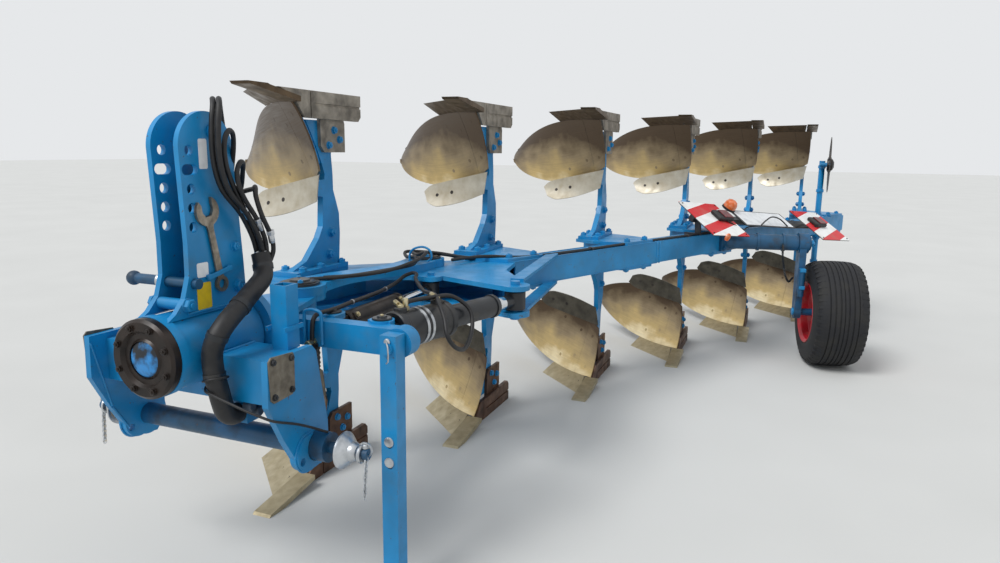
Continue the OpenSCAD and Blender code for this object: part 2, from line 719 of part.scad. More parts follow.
module landside() {
    difference() {
        side_plate(concat(
            [[-214, 3], [-250, 12], [point_back, point_top - 26]], landside_front,
            [[-landside_l + 20, landside_h], [-landside_l, landside_h - 20], [-landside_l, 3]]
        ), landside_y[0], landside_y[1]);
        block(-landside_l - 1, -440, landside_y[1] - 5, landside_y[1] + 1, 52, 62);
        block(-420, -414, landside_y[1] - 6, landside_y[1] + 1, 0, landside_h + 1);
    }
    side_plate([
        [-500, 40], [-505, 230], [-530, 256], [-685, 256], [-685, 130], [-640, 40]
    ], leg_near + fit, landside_y[0] + 1);
}

module landsides() color("#4a3a33") both_bodies() landside();

// Cylinders: local +x runs from the front pin to the rear pin

swing_d = 130;
swing_neck_d = 86;
swing_rod_d = 56;
swing_len = norm(swing_rear - swing_front);
swing_dir = atan2(swing_rear[1] - swing_front[1], swing_rear[0] - swing_front[0]);
width_d = 76;
width_rod_d = 44;
width_len = norm(width_rear - width_front);
width_dir = atan2(width_rear[1] - width_front[1], width_rear[0] - width_front[0]);

module swing_frame() translate([swing_front[0], swing_front[1], axis_z]) rotate([0, 0, swing_dir]) children();
module width_frame() translate([width_front[0], width_front[1], axis_z]) rotate([0, 0, width_dir]) children();

module swing_barrel() color("#17191c") swing_frame() difference() {
    union() {
        bar_z(-34.5, 34.5, 78);
        block(20, 52, -30, 30, -34, 34);
        bar_x(50, 310, swing_d);
        bar_x(308, 600, swing_neck_d);
        bar_z(-54, 54, 44);
    }
    bar_x(90, big, swing_rod_d + 1);
}

module swing_rod() color("#c8ccd0") swing_frame() difference() {
    union() {
        bar_x(330, swing_len - 20, swing_rod_d);
        translate([swing_len, 0, 0]) bar_z(-36, 36, 88);
    }
    translate([swing_len, 0, 0]) bar_z(-big, big, swing_pin_d + 2 * rod_play);
}

module width_barrel() color("#3a2f2a") width_frame() difference() {
    union() {
        bar_z(-31, 31, 66);
        block(15, 62, -24, 24, -30, 30);
        bar_x(60, 440, width_d);
        bar_z(-50, 50, 36);
    }
    bar_x(80, big, width_rod_d + 1);
}

module width_rod() color("#c8ccd0") width_frame() difference() {
    union() {
        bar_x(260, width_len - 20, width_rod_d);
        translate([width_len, 0, 0]) bar_z(-36, 36, 74);
    }
    translate([width_len, 0, 0]) bar_z(-big, big, width_pin_d + 2 * rod_play);
}

// Wheel

wheel_pivot = beam_point(3 * body_spacing + 775.4, -492.9);
wheel_drop = axis_height - tyre_d / 2;
tyre_y = tyre_w / 2 + 20;
spindle_d = 70;

module wheel_frame() translate([wheel_pivot[0], wheel_pivot[1], axis_z]) rotate([0, 0, wheel_turn]) children();
wheel_mount_k = 3 * body_spacing + 470;

module wheel_bracket() color("#1877c0") {
    difference() {
        wheel_frame() union() {
            bar_y(-700, -64, 108);
            bar_y(-66, 22, spindle_d);
            bar_y(6, 18, 100);
        }
        along_beam() block(-big, 2 * big, -beam_w / 2 - 20, big, -big, big);
    }
    along_beam() block(wheel_mount_k - 130, wheel_mount_k + 130, -beam_w / 2 - 20, -beam_w / 2 - fit, -62, 62);
}

arm_plan = [[-62, 0], [62, 0], [44, -wheel_drop], [-44, -wheel_drop]];

module wheel_arm() color("#1877c0") wheel_frame() {
    difference() {
        union() {
            bar_y(-62, 4, 140);
            side_plate(arm_plan, -56, -12);
            translate([0, 0, -wheel_drop]) bar_y(-56, -12, 96);
        }
        bar_y(-big, big, spindle_d + 2 * pin_play);
    }
    translate([0, 0, -wheel_drop]) bar_y(-14, tyre_y + 60, 50);
    translate([70, -34, -wheel_drop / 2 - 20]) bar_z(-100, 90, 44);
    block(40, 80, -44, -24, -wheel_drop / 2 - 60, -wheel_drop / 2 - 30);
}

module wheel_centre() wheel_frame() translate([0, tyre_y, -wheel_drop]) rotate([-90, 0, 0]) children();

bead_r = rim_d / 2 - 6;
bead_y = tyre_w / 2 - 26;
rim_half = [
    [176, 80], [bead_r - fit, 100], [bead_r - fit, bead_y + 0.5], [bead_r + 13, bead_y + 16.5],
    [bead_r + 17, bead_y + 22], [bead_r + 13, bead_y + 25], [bead_r + 7, bead_y + 20],
    [190, bead_y + 6], [190, 104], [170, 82]
];
disc_half = [
    [spindle_d / 2, -70], [70, -70], [70, -50], [110, -46], [172, -62], [172, -48], [110, -32],
    [70, -34], [70, 40], [spindle_d / 2, 40]
];

module rim() color("#b0202a") wheel_centre() rotate_extrude($fn = 64) {
    polygon(concat(rim_half, [for (i = [len(rim_half) - 1 : -1 : 0]) [rim_half[i][0], -rim_half[i][1]]]));
    polygon([for (p = disc_half) [p[0] < 60 ? 25 + pin_play : p[0], p[1]]]);
}

module tyre() color("#2a2a2c") wheel_centre() rotate_extrude($fn = 72) polygon([
    [rim_d / 2 - 6, -tyre_w / 2 + 26], [rim_d / 2 + 14, -tyre_w / 2 + 2], [tyre_d / 2 - 90, -tyre_w / 2],
    [tyre_d / 2 - 34, -tyre_w / 2 + 12], [tyre_d / 2 - 4, -tyre_w / 2 + 50], [tyre_d / 2, -tyre_w / 2 + 90],
    [tyre_d / 2, tyre_w / 2 - 90], [tyre_d / 2 - 4, tyre_w / 2 - 50], [tyre_d / 2 - 34, tyre_w / 2 - 12],
    [tyre_d / 2 - 90, tyre_w / 2], [rim_d / 2 + 14, tyre_w / 2 - 2], [rim_d / 2 - 6, tyre_w / 2 - 26]
]);

// Disc coulters for the last pair

post_at = beam_point((bodies - 1) * body_spacing + 31, -44);
disc_at = [post_at[0] + 130, post_at[1] + 50, 520];

module coulter_arm() {
    translate([post_at[0], post_at[1], 0]) {
        bar_z(beam_w / 2 + fit, disc_at[2] + 30, 46);
        rotate([0, 0, -beam_angle]) block(-70, 70, -60, 60, beam_w / 2 + fit, beam_w / 2 + 18);
    }
    translate([0, post_at[1], disc_at[2]]) {
        block(post_at[0], disc_at[0], -12, 12, -30, 30);
        translate([disc_at[0], 0, 0]) bar_y(-20, disc_at[1] - post_at[1] + 30, 34);
    }
}

module coulter_arms() color("#1877c0") at_axis() above_and_below() coulter_arm();

module disc() translate(disc_at) rotate([-90, 0, 0]) rotate_extrude($fn = 72)
    polygon([
        [17 + pin_play, -18], [48, -18], [52, -3], [disc_d / 2, -1],
        [disc_d / 2, 1], [52, 3], [48, 18], [17 + pin_play, 18]
    ]);

module disc_upper() color("#2f2d2c") at_axis() disc();
module disc_lower() color("#2f2d2c") at_axis() mirror([0, 0, 1]) disc();

// Light bar

// The bar lies folded on the beam: front upper corner of its boards, turn out of the beam, dip and slope
light_at = beam_point(3 * body_spacing + 75, 111);
light_z = 280;
light_turn = 7;
light_dip = 5;
light_slope = 32;
light_l = 1780;
board_size = [400, 370];
plate_at = [510, 60];
plate_size = [640, 180];
light_tube = 40;
tube_y = -155;

module light_frame() at_axis() translate([light_at[0], light_at[1], light_z])
    rotate([0, 0, 180 - beam_angle - light_turn])
        rotate([0, light_dip, 0])
            rotate([light_slope, 0, 0]) children();

// Brackets that carry the bar: distance along the beam, side and height of the bar there
light_feet = [[3 * body_spacing + 92, -37, 170], [4 * body_spacing + 100, -162, 82]];
foot_t = 12;

module light_foot(k, side, top) along_beam() {
    block(k - foot_t / 2, k + foot_t / 2, -62, 60, beam_w / 2 + fit, beam_w / 2 + 14);
    translate([k - foot_t / 2, 0, 0]) rotate([90, 0, 90]) linear_extrude(foot_t)
        polygon([[-61, beam_w / 2 + 1], [-20, beam_w / 2 + 13], [side + 24, top], [side - 20, top - 14]]);
}

module light_bar() color("#20242a") {
    light_frame() {
        block(0, light_l, tube_y - light_tube / 2, tube_y + light_tube / 2, -light_tube - fit, -fit);
        translate([plate_at[0], -plate_at[1] - plate_size[1], 0])
            block(0, plate_size[0], 0, plate_size[1], -fit - 1, 4);
    }
    for (f = light_feet) light_foot(f[0], f[1], f[2]);
}

module warning_boards() color("#e8e8ea") light_frame()
    for (x = [0, light_l - board_size[0]]) block(x, x + board_size[0], -board_size[1], 0, 0, 4);

crossbar();
hitch_balls();
cheeks();
cross_box();
turn_housing();
front_ring();
tower();
tower_spacers();
top_link_pin();
turnover_cylinder();
feed_hoses();
gear_hoses();
turn_shaft();
carrier();
side_arm();
pivot_pin();
stand_leg();
swing_arms();
beam_pin();
beam_front();
beam_middle();
beam_rear();
cylinder_braces();
consoles();
legs();
frogs();
mouldboards();
shins();
shares();
points();
landsides();
trashboards();
swing_barrel();
swing_rod();
width_barrel();
width_rod();
wheel_bracket();
wheel_arm();
rim();
tyre();
coulter_arms();
disc_upper();
disc_lower();
light_bar();
warning_boards();
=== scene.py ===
"""Finishes, small fittings and studio of a six-furrow mounted reversible plough."""

import json
import math
from functools import partial

import bmesh
import bpy
from bpy.props import FloatProperty, IntProperty, PointerProperty, StringProperty
from bpy.types import Operator, Panel, PropertyGroup
from mathutils import Matrix, Vector

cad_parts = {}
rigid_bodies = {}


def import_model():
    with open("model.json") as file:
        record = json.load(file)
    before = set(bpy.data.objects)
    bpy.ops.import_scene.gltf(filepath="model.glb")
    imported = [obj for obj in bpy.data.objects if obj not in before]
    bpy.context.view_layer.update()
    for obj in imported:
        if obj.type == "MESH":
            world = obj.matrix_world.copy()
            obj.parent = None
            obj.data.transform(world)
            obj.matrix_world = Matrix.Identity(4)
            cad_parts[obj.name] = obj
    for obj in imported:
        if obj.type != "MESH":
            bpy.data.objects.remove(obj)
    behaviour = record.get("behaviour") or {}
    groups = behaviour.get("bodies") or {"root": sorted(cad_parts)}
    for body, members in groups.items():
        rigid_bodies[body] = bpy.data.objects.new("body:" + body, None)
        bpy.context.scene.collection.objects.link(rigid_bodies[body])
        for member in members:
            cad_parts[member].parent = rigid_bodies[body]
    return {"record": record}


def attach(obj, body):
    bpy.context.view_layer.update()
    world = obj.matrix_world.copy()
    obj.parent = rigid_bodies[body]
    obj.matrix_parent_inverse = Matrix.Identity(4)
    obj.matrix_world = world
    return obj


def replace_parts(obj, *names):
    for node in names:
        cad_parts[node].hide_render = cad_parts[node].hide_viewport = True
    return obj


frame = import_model()

bl_info = {
    "name": "Reversible plough dresser",
    "version": (1, 0, 0),
    "blender": (4, 5, 0),
    "location": "View3D > Sidebar > Plough",
    "description": "Finishes and small fittings of a six-furrow mounted reversible plough",
    "category": "Object",
}

# Places of the CAD model that the fittings sit on, in millimetres of the row frame

AXIS_Z = 320
GROUND_Z = -530
TIP = (-337, -118)
TIP_DROP = 850
BEAM_ANGLE = 23.58
SPACING = 1000
BODIES = 6
SWING_FRONT = (-232, 480)
SWING_REAR = (-951.6, 683.8)
WIDTH_FRONT = (-262, 265)
WIDTH_REAR = (-997.5, 268.5)
PIVOT = (-430, 0)
BEAM_PIN = (-1234.9, 114.6)
CHEEK_FACE = 365
TOWER_FACE = 62
LEG_NEAR = -75.5
LEG_FAR = LEG_NEAR - 29
BOARD_FOOT_Z = -490
BOARD_HEIGHT = 520
ROW_RISE = 1160
SIDES = (1, -1)
IDENTITY = Matrix.Identity(4)


# Settings that a user would change


def colour_setting(name, description, default):
    return StringProperty(name=name, description=description, default=default)


def length_setting(name, description, default, low, high):
    return FloatProperty(name=name, description=description, default=default, min=low, max=high,
                         subtype="DISTANCE", unit="LENGTH")


class PLOUGH_PG_colours(PropertyGroup):
    """Colours of the finishes, as sRGB hex"""

    blue: colour_setting("Blue enamel", "Enamel of the frame, legs and beam", "#0A88C4")
    blue_shade: colour_setting("Blue shade", "Duller patches of the blue enamel", "#076A9A")
    black: colour_setting("Black enamel", "Cylinders, light bar and pins", "#1D2024")
    red: colour_setting("Rim red", "Enamel of the wheel rim", "#C22430")
    # The scoured tone also paints a highlight in the middle of each board
    polished: colour_setting("Scoured steel", "Bright part of a mouldboard", "#FBEAC2")
    tanned: colour_setting("Tanned steel", "Rusty film of a mouldboard", "#9C8B6F")
    # The dull tone also paints the shade higher up on each board
    damp_and_shade: colour_setting("Damp steel", "Dull part of a mouldboard, where it curls over", "#5B4C3D")
    pale: colour_setting("Pale plate", "Trashboards of the upper bodies", "#C6C0B0")
    floor: colour_setting("Floor", "Studio floor", "#CECECB")
    floor_shade: colour_setting("Floor shade", "Soft clouds of the studio floor", "#CACAC7")


class PLOUGH_PG_sizes(PropertyGroup):
    """Sizes of the small fittings"""

    bolt: length_setting("Frame bolt", "Thread of the bolts that hold the legs", 0.024, 0.016, 0.03)
    board_bolt: length_setting("Board bolt", "Head of a countersunk mouldboard bolt", 0.021, 0.016, 0.03)
    bead: length_setting("Weld bead", "Width of a weld bead", 0.009, 0.005, 0.014)
    hose: length_setting("Thin hose", "Diameter of a loose hydraulic hose", 0.016, 0.01, 0.02)
    groove: length_setting("Tread groove", "Depth of the tyre's grooves", 0.006, 0.002, 0.01)
    lugs: IntProperty(name="Shoulder lugs", description="Lugs on each shoulder of the tyre",
                      default=46, min=30, max=60)


def colours():
    return bpy.context.scene.plough_colours


def sizes():
    return bpy.context.scene.plough_sizes


# Finishes


def linear(tone):
    """A linear RGBA tuple from an sRGB hex colour, or from the linear value of a grey."""
    if not isinstance(tone, str):
        return (tone, tone, tone, 1.0)
    channels = [int(tone[i:i + 2], 16) / 255 for i in (1, 3, 5)]
    return tuple(c / 12.92 if c <= 0.04045 else ((c + 0.055) / 1.055) ** 2.4 for c in channels) + (1.0,)


def mm(size):
    """The noise scale that gives patches of this real size."""
    return 1000 / size


def add_node(tree, kind, inputs=None, stops=(), **settings):
    """Add a shader node with its settings, ramp stops and links; an input is a value, hex colour, socket or node."""
    node = tree.nodes.new("ShaderNode" + kind)
    for name, value in settings.items():
        setattr(node, name, value)
    for key, value in (inputs or {}).items():
        if isinstance(value, bpy.types.Node):
            value = value.outputs[2 if value.bl_idname == "ShaderNodeMix" else 0]
        if isinstance(value, bpy.types.NodeSocket):
            tree.links.new(value, node.inputs[key])
        else:
            node.inputs[key].default_value = linear(value) if isinstance(value, str) else value
    for i, (position, tone) in enumerate(stops):
        elements = node.color_ramp.elements
        element = elements[i] if i < 2 else elements.new(position)
        element.position = position
        element.color = linear(tone)
    return node


def new_material(name, metallic=0.0):
    """An empty material: what adds a node to it, its object coordinates, and what gives it its shader and output."""
    material = bpy.data.materials.new(name)
    material.use_nodes = True
    material.node_tree.nodes.clear()
    node = partial(add_node, material.node_tree)

    def close(colour, roughness, height=None, strength=0.15, depth=0.5, **fixed):
        inputs = {"Base Color": colour, "Roughness": roughness, "Metallic": metallic, **fixed}
        if height is not None:
            inputs["Normal"] = node("Bump", {"Height": height, "Strength": strength, "Distance": depth / 1000})
        node("OutputMaterial", {"Surface": node("BsdfPrincipled", inputs)})
        return material

    return node, node("TexCoord").outputs["Object"], close


def painted_steel(name, colour, shade, roughness=0.36, dust="#8E8878", dust_amount=0.3, chips=0.0, primer="#4A3A30"):
    # Enamel sprayed on welded steel: an even half-gloss skin with duller patches, field dust that
    # takes the shine off in clouds, and brown primer showing where stones have chipped it
    node, spot, close = new_material(name)
    patches, grime, flakes, skin = (node("TexNoise", {"Vector": spot, "Scale": mm(size), "Detail": detail})
                                    for size, detail in ((240, 4), (70, 9), (16, 6), (7, 3)))
    faded = node("ValToRGB", {0: patches}, [(0.38, 0), (0.68, 0.75)])
    dusted = node("ValToRGB", {0: grime}, [(0.5, 0), (0.78, dust_amount)])
    chipped = node("ValToRGB", {0: flakes}, [(0.69, 0), (0.71, chips)])
    base = colour
    for amount, over in ((faded, shade), (dusted, dust), (chipped, primer)):
        base = node("Mix", {0: amount, 6: base, 7: over}, data_type="RGBA")
    dull = node("ValToRGB", {0: grime}, [(0.4, roughness), (0.8, roughness + 0.3)])
    return close(base, dull, skin, 0.12, 0.5, **{"Coat Weight": 0.1, "Coat Roughness": 0.2})


def scoured_steel(name, bright, tan, damp_and_shade, film_tone="#D0B680"):
    # Hardened plough steel scoured by soil: satin bright with long scratches the furrow slice's way, tanned by a thin
    # film of rust; the bright middle of each board is partly scouring and partly a painted highlight, and the dull
    # tone higher up on either row of bodies, where the board curls over and stays wet, is partly a wet film and partly
    # painted shade.
    # The scratches are drawn 9 mm wide, coarser than real ones, so that they show
    node, spot, close = new_material(name, 0.9)
    flow = node("TexCoord").outputs["UV"]
    height = node("SeparateXYZ", {0: spot}).outputs["Z"]
    # The tone darkens with height on each board: partly a wet film and partly painted shade
    lifted = node("Math", {0: height, 1: -BOARD_FOOT_Z / 1000}, operation="ADD")
    on_board = node("Math", {0: lifted, 1: ROW_RISE / 1000}, operation="MODULO")
    film = node("Math", {0: on_board, 1: 1000 / BOARD_HEIGHT}, operation="MULTIPLY")
    # Nearer this spot in the middle of a board the steel is brighter: partly scouring and partly a painted highlight
    outward = node("VectorMath", {0: flow, 1: (0.42, 0.2, 0)}, operation="DISTANCE").outputs["Value"]
    cloud = node("TexNoise", {"Vector": flow, "Scale": mm(150), "Detail": 5})
    for share, weight in ((outward, 0.55), (cloud, 0.5)):
        film = node("Math", {0: share, 1: weight, 2: film}, operation="MULTIPLY_ADD")
    base = node("ValToRGB", {0: film}, [(0.4, bright), (0.54, film_tone), (0.78, tan), (1.0, damp_and_shade)])
    along = node("Mapping", {"Vector": flow, "Scale": (0.06, 1, 1)})
    scratches = node("TexNoise", {"Vector": along, "Scale": mm(9), "Detail": 3})
    lines = node("ValToRGB", {0: scratches}, [(0.36, 0.66), (0.66, 1)])
    scored = node("Mix", {0: 0.4, 6: base, 7: lines}, data_type="RGBA", blend_type="MULTIPLY")
    satin = node("ValToRGB", {0: scratches}, [(0.3, 0.3), (0.75, 0.46)])
    return close(scored, satin, scratches, 0.2, 0.5)


def weathered_steel(name, low, high=None, spread=0.5, metallic=0.5, roughness=0.5, size_mm=60):
    # Bare forged wearing steel: two mottled tones of thin rust and a pitted skin; on some, the upper row of bodies,
    # above the turnover axis, has tones of its own, which on the shares are darker as painted shade of their
    # undersides
    node, spot, close = new_material(name, metallic)
    height = node("SeparateXYZ", {0: spot}).outputs["Z"]
    upper = node("Math", {0: height, 1: AXIS_Z / 1000}, operation="GREATER_THAN")
    light, dark = (node("Mix", {0: upper, 6: below, 7: above}, data_type="RGBA")
                   for below, above in zip(low, high or low))
    mottle = node("TexNoise", {"Vector": spot, "Scale": mm(size_mm), "Detail": 9})
    pits = node("TexNoise", {"Vector": spot, "Scale": mm(8), "Detail": 4})
    share = node("ValToRGB", {0: mottle}, [(0.5 - spread / 4, 0), (0.5 + spread / 4, 1)])
    base = node("Mix", {0: share, 6: light, 7: dark}, data_type="RGBA")
    dull = node("ValToRGB", {0: mottle}, [(0.3, roughness - 0.08), (0.8, roughness + 0.2)])
    return close(base, dull, pits, 0.2, 0.7)


def plated_metal(name, colour, shade, roughness):
    # Zinc plate or yellow chromate: one even bright metal with a faint cloud of handling marks
    node, spot, close = new_material(name, 1.0)
    cloud = node("TexNoise", {"Vector": spot, "Scale": mm(35), "Detail": 5})
    base = node("ValToRGB", {0: cloud}, [(0.4, colour), (0.75, shade)])
    dull = node("ValToRGB", {0: cloud}, [(0.3, roughness), (0.8, roughness + 0.14)])
    return close(base, dull)


def rod_steel(name, eye, eye_r, colour, paint):
    # Hard-chromed piston rod, a mirror but for hair-fine turning marks; its welded eye is painted black
    node, spot, close = new_material(name)
    centre = (eye[0] / 1000, eye[1] / 1000, AXIS_Z / 1000)
    away = node("VectorMath", {0: spot, 1: centre}, operation="DISTANCE").outputs["Value"]
    shaft = node("Math", {0: away, 1: eye_r / 1000}, operation="GREATER_THAN")
    marks = node("TexNoise", {"Vector": spot, "Scale": mm(12), "Detail": 4})
    gloss = node("ValToRGB", {0: marks}, [(0.3, 0.08), (0.8, 0.2)])
    base = node("Mix", {0: shaft, 6: paint, 7: colour}, data_type="RGBA")
    dull = node("Mix", {0: shaft, 6: linear(0.4), 7: gloss}, data_type="RGBA")
    return close(base, dull, Metallic=shaft)


def moulded(name, colour, shade, roughness=0.5, grain_mm=4, size_mm=50):
    # Moulded rubber, plastic or vinyl: even and slightly waxy with a fine grain, dusty in soft patches
    node, spot, close = new_material(name)
    scuffs = node("TexNoise", {"Vector": spot, "Scale": mm(size_mm), "Detail": 7})
    grain = node("TexNoise", {"Vector": spot, "Scale": mm(grain_mm), "Detail": 2})
    dust = node("ValToRGB", {0: scuffs}, [(0.45, 0), (0.75, 0.85)])
    base = node("Mix", {0: dust, 6: colour, 7: shade}, data_type="RGBA")
    dull = node("ValToRGB", {0: scuffs}, [(0.3, roughness), (0.8, roughness + 0.2)])
    return close(base, dull, grain, 0.12, 0.4)


def warning_sheet(name, white, red, dust_tone="#A69A8C", stripe_mm=72):
    # Retro-reflective sheet: slanted red and white stripes with a film of road dust
    node, spot, close = new_material(name)
    lean = node("VectorMath", {0: spot, 1: (0.26, 0.96, 0)}, operation="DOT_PRODUCT").outputs["Value"]
    turns = node("Math", {0: lean, 1: mm(2 * stripe_mm)}, operation="MULTIPLY")
    part = node("Math", {0: turns}, operation="FRACT")
    stripe = node("Math", {0: part, 1: 0.5}, operation="GREATER_THAN")
    clean = node("Mix", {0: stripe, 6: white, 7: red}, data_type="RGBA")
    film = node("TexNoise", {"Vector": spot, "Scale": mm(80), "Detail": 7})
    dust = node("ValToRGB", {0: film}, [(0.48, 0), (0.8, 0.35)])
    base = node("Mix", {0: dust, 6: clean, 7: dust_tone}, data_type="RGBA")
    dull = node("ValToRGB", {0: film}, [(0.48, 0.5), (0.8, 0.68)])
    return close(base, dull)


def lamp_lens(name, colour, glow):
    # Moulded acrylic: deep clear colour, glossy, with fine ribs that catch the light
    node, spot, close = new_material(name)
    depth = node("TexNoise", {"Vector": spot, "Scale": mm(22), "Detail": 2})
    across = node("Mapping", {"Vector": spot, "Scale": (0.1, 1, 1)})
    ribs = node("TexNoise", {"Vector": across, "Scale": mm(6), "Detail": 1})
    base = node("ValToRGB", {0: depth}, [(0.35, colour), (0.9, glow)])
    return close(base, 0.3, ribs, 0.1, 0.4, IOR=1.49)


MATERIALS = {}


def make_materials():
    c = colours()
    chromed = "#D8DADC"
    MATERIALS.update({
        "blue_paint": painted_steel("blue_enamel_on_steel", c.blue, c.blue_shade, 0.36, "#56707C", 0.3, 0.8),
        "greasy_blue": painted_steel("greasy_blue_enamel", "#0B5580", "#143444", 0.4, "#2A2622", 0.8, 0.8),
        "dark_steel": painted_steel("black_enamel_on_steel", c.black, "#121417", 0.34, "#6B6255"),
        "red_paint": painted_steel("red_enamel_on_steel", c.red, "#8C1620", 0.35, dust_amount=0.4),
        "worn_board": scoured_steel("scoured_mouldboard_steel_with_painted_light", c.polished, c.tanned, c.damp_and_shade),
        # The darker tones of the upper row's shares are painted shade of their undersides
        "share_steel": weathered_steel("worn_share_steel_and_painted_shade", ("#C4B899", "#93876C"), ("#6E5A41", "#3E3125"),
                                       1.5, 0.75, 0.38, 45),
        "landside_steel": weathered_steel("worn_landside_steel", ("#6B4C38", "#3C2A20"), ("#A59C8E", "#6E675D"),
                                          0.7, 0.4),
        "pale_plastic": weathered_steel("scuffed_trashboard_plate", ("#625D51", "#3B372F"), (c.pale, "#A79C86"),
                                        0.9, 0.3, 0.42),
        "brown_plate": weathered_steel("rusted_cover_plate", ("#7D7566", "#544C41"), None, 0.8, 0.2, 0.6, 30),
        "grease": weathered_steel("greased_dark_steel", ("#2A201A", "#15100D"), None, 0.6, 0.3, 0.34),
        "disc_steel": weathered_steel("blued_disc_steel", ("#55504A", "#2C2826"), ("#4A4542", "#252220"),
                                      0.7, 0.6, 0.42),
        "tool_steel": weathered_steel("dull_tool_steel", ("#ABA294", "#736A5E"), None, 0.9, 0.85, 0.38, 25),
        "greasy_cap": weathered_steel("greased_blue_cap", ("#2F86C8", "#1D2228"), None, 0.35, 0.1, 0.4, 45),
        "zinc": plated_metal("zinc_plated_steel", "#CDD0D3", "#A4A8AC", 0.3),
        "brass": plated_metal("yellow_chromated_fitting", "#CFC3A0", "#A3956C", 0.3),
        "swing_rod": rod_steel("chromed_swing_rod", SWING_REAR, 92, chromed, c.black),
        "width_rod": rod_steel("chromed_width_rod", WIDTH_REAR, 70, chromed, c.black),
        "tyre": moulded("dusty_tyre_rubber", "#17181C", "#2E2D2A", 0.66, 5, 90),
        "hose_rubber": moulded("black_hose_rubber", "#161618", "#2C2A28", 0.45, 2, 30),
        "cap_plastic": moulded("dark_moulded_cap", "#3E4A57", "#2B333C", 0.4),
        "sticker_white": moulded("white_vinyl_label", "#E9EBEC", "#C9CCCE", 0.4, 8),
        "sticker_yellow": moulded("yellow_vinyl_label", "#E8C61C", "#BFA224", 0.4, 8),
        "board_white": warning_sheet("red_white_reflective_sheet", "#F0F0EE", "#D02028"),
        "lamp_red": lamp_lens("dark_red_acrylic_lens", "#4A080E", "#8A2C30"),
        "lamp_amber": lamp_lens("amber_acrylic_lens", "#E0620C", "#F0B090"),
    })


# Nodes whose finish differs from that of their record slot: greasy paint, and rods with a painted eye

OWN_FINISH = {"crossbar": "greasy_blue", "top_link_pin": "greasy_blue", "swing_rod": "swing_rod",
              "width_rod": "width_rod", "wheel_bracket": "greasy_blue", "wheel_arm": "greasy_blue"}


# Building pieces


def shift(x, y, z=0):
    return Matrix.Translation((x, y, z))


def turn(axis, degrees):
    return Matrix.Rotation(math.radians(degrees), 4, axis)


def flip(side):
    return Matrix.Diagonal((1, 1, side, 1))


def aim(origin, direction):
    """A place whose own z points along direction."""
    return Matrix.Translation(origin) @ Vector(direction).to_track_quat("Z", "Y").to_matrix().to_4x4()


# Frames of the beam, the light bar and the wheel arm
BEAM = shift(*TIP, AXIS_Z) @ turn("Z", 180 - BEAM_ANGLE)
LIGHTS = (shift(*(BEAM @ Vector((3 * SPACING + 75, 111, 280)))) @ turn("Z", 180 - BEAM_ANGLE - 7)
          @ turn("Y", 5) @ turn("X", 32))
WHEEL = shift(*(BEAM @ Vector((3 * SPACING + 775.4, -492.9, 0)))) @ turn("Z", 12)


def body_place(index, side):
    """The frame of one plough body: x ahead of the point, y to the land, z over the sole."""
    run = Vector((math.cos(math.radians(BEAM_ANGLE)), math.sin(math.radians(BEAM_ANGLE)))) * index * SPACING
    return shift(TIP[0] - run.x, TIP[1] + run.y, AXIS_Z) @ flip(side) @ shift(0, 0, -TIP_DROP)


def every_body():
    return [body_place(i, side) for side in SIDES for i in range(BODIES)]


def cylinder_place(front, rear):
    return shift(*front, AXIS_Z) @ turn("Z", math.degrees(math.atan2(rear[1] - front[1], rear[0] - front[0])))


def circle(radius, count, start=0):
    """Points evenly round a circle, the first at start degrees."""
    angles = [math.radians(start) + math.tau * i / count for i in range(count)]
    return [(radius * math.cos(a), radius * math.sin(a)) for a in angles]


def smooth_route(points, steps=5):
    """A rounder route through the same points."""
    route = [Vector(p) for p in points]
    ends = [route[0] * 2 - route[1]] + route + [route[-1] * 2 - route[-2]]
    out = []
    for a, b, c, d in zip(ends, ends[1:], ends[2:], ends[3:]):
        for i in range(steps):
            t = i / steps
            out.append(0.5 * (2 * b + (c - a) * t + (2 * a - 5 * b + 4 * c - d) * t ** 2
                              + (3 * b - a - 3 * c + d) * t ** 3))
    return out + [route[-1]]


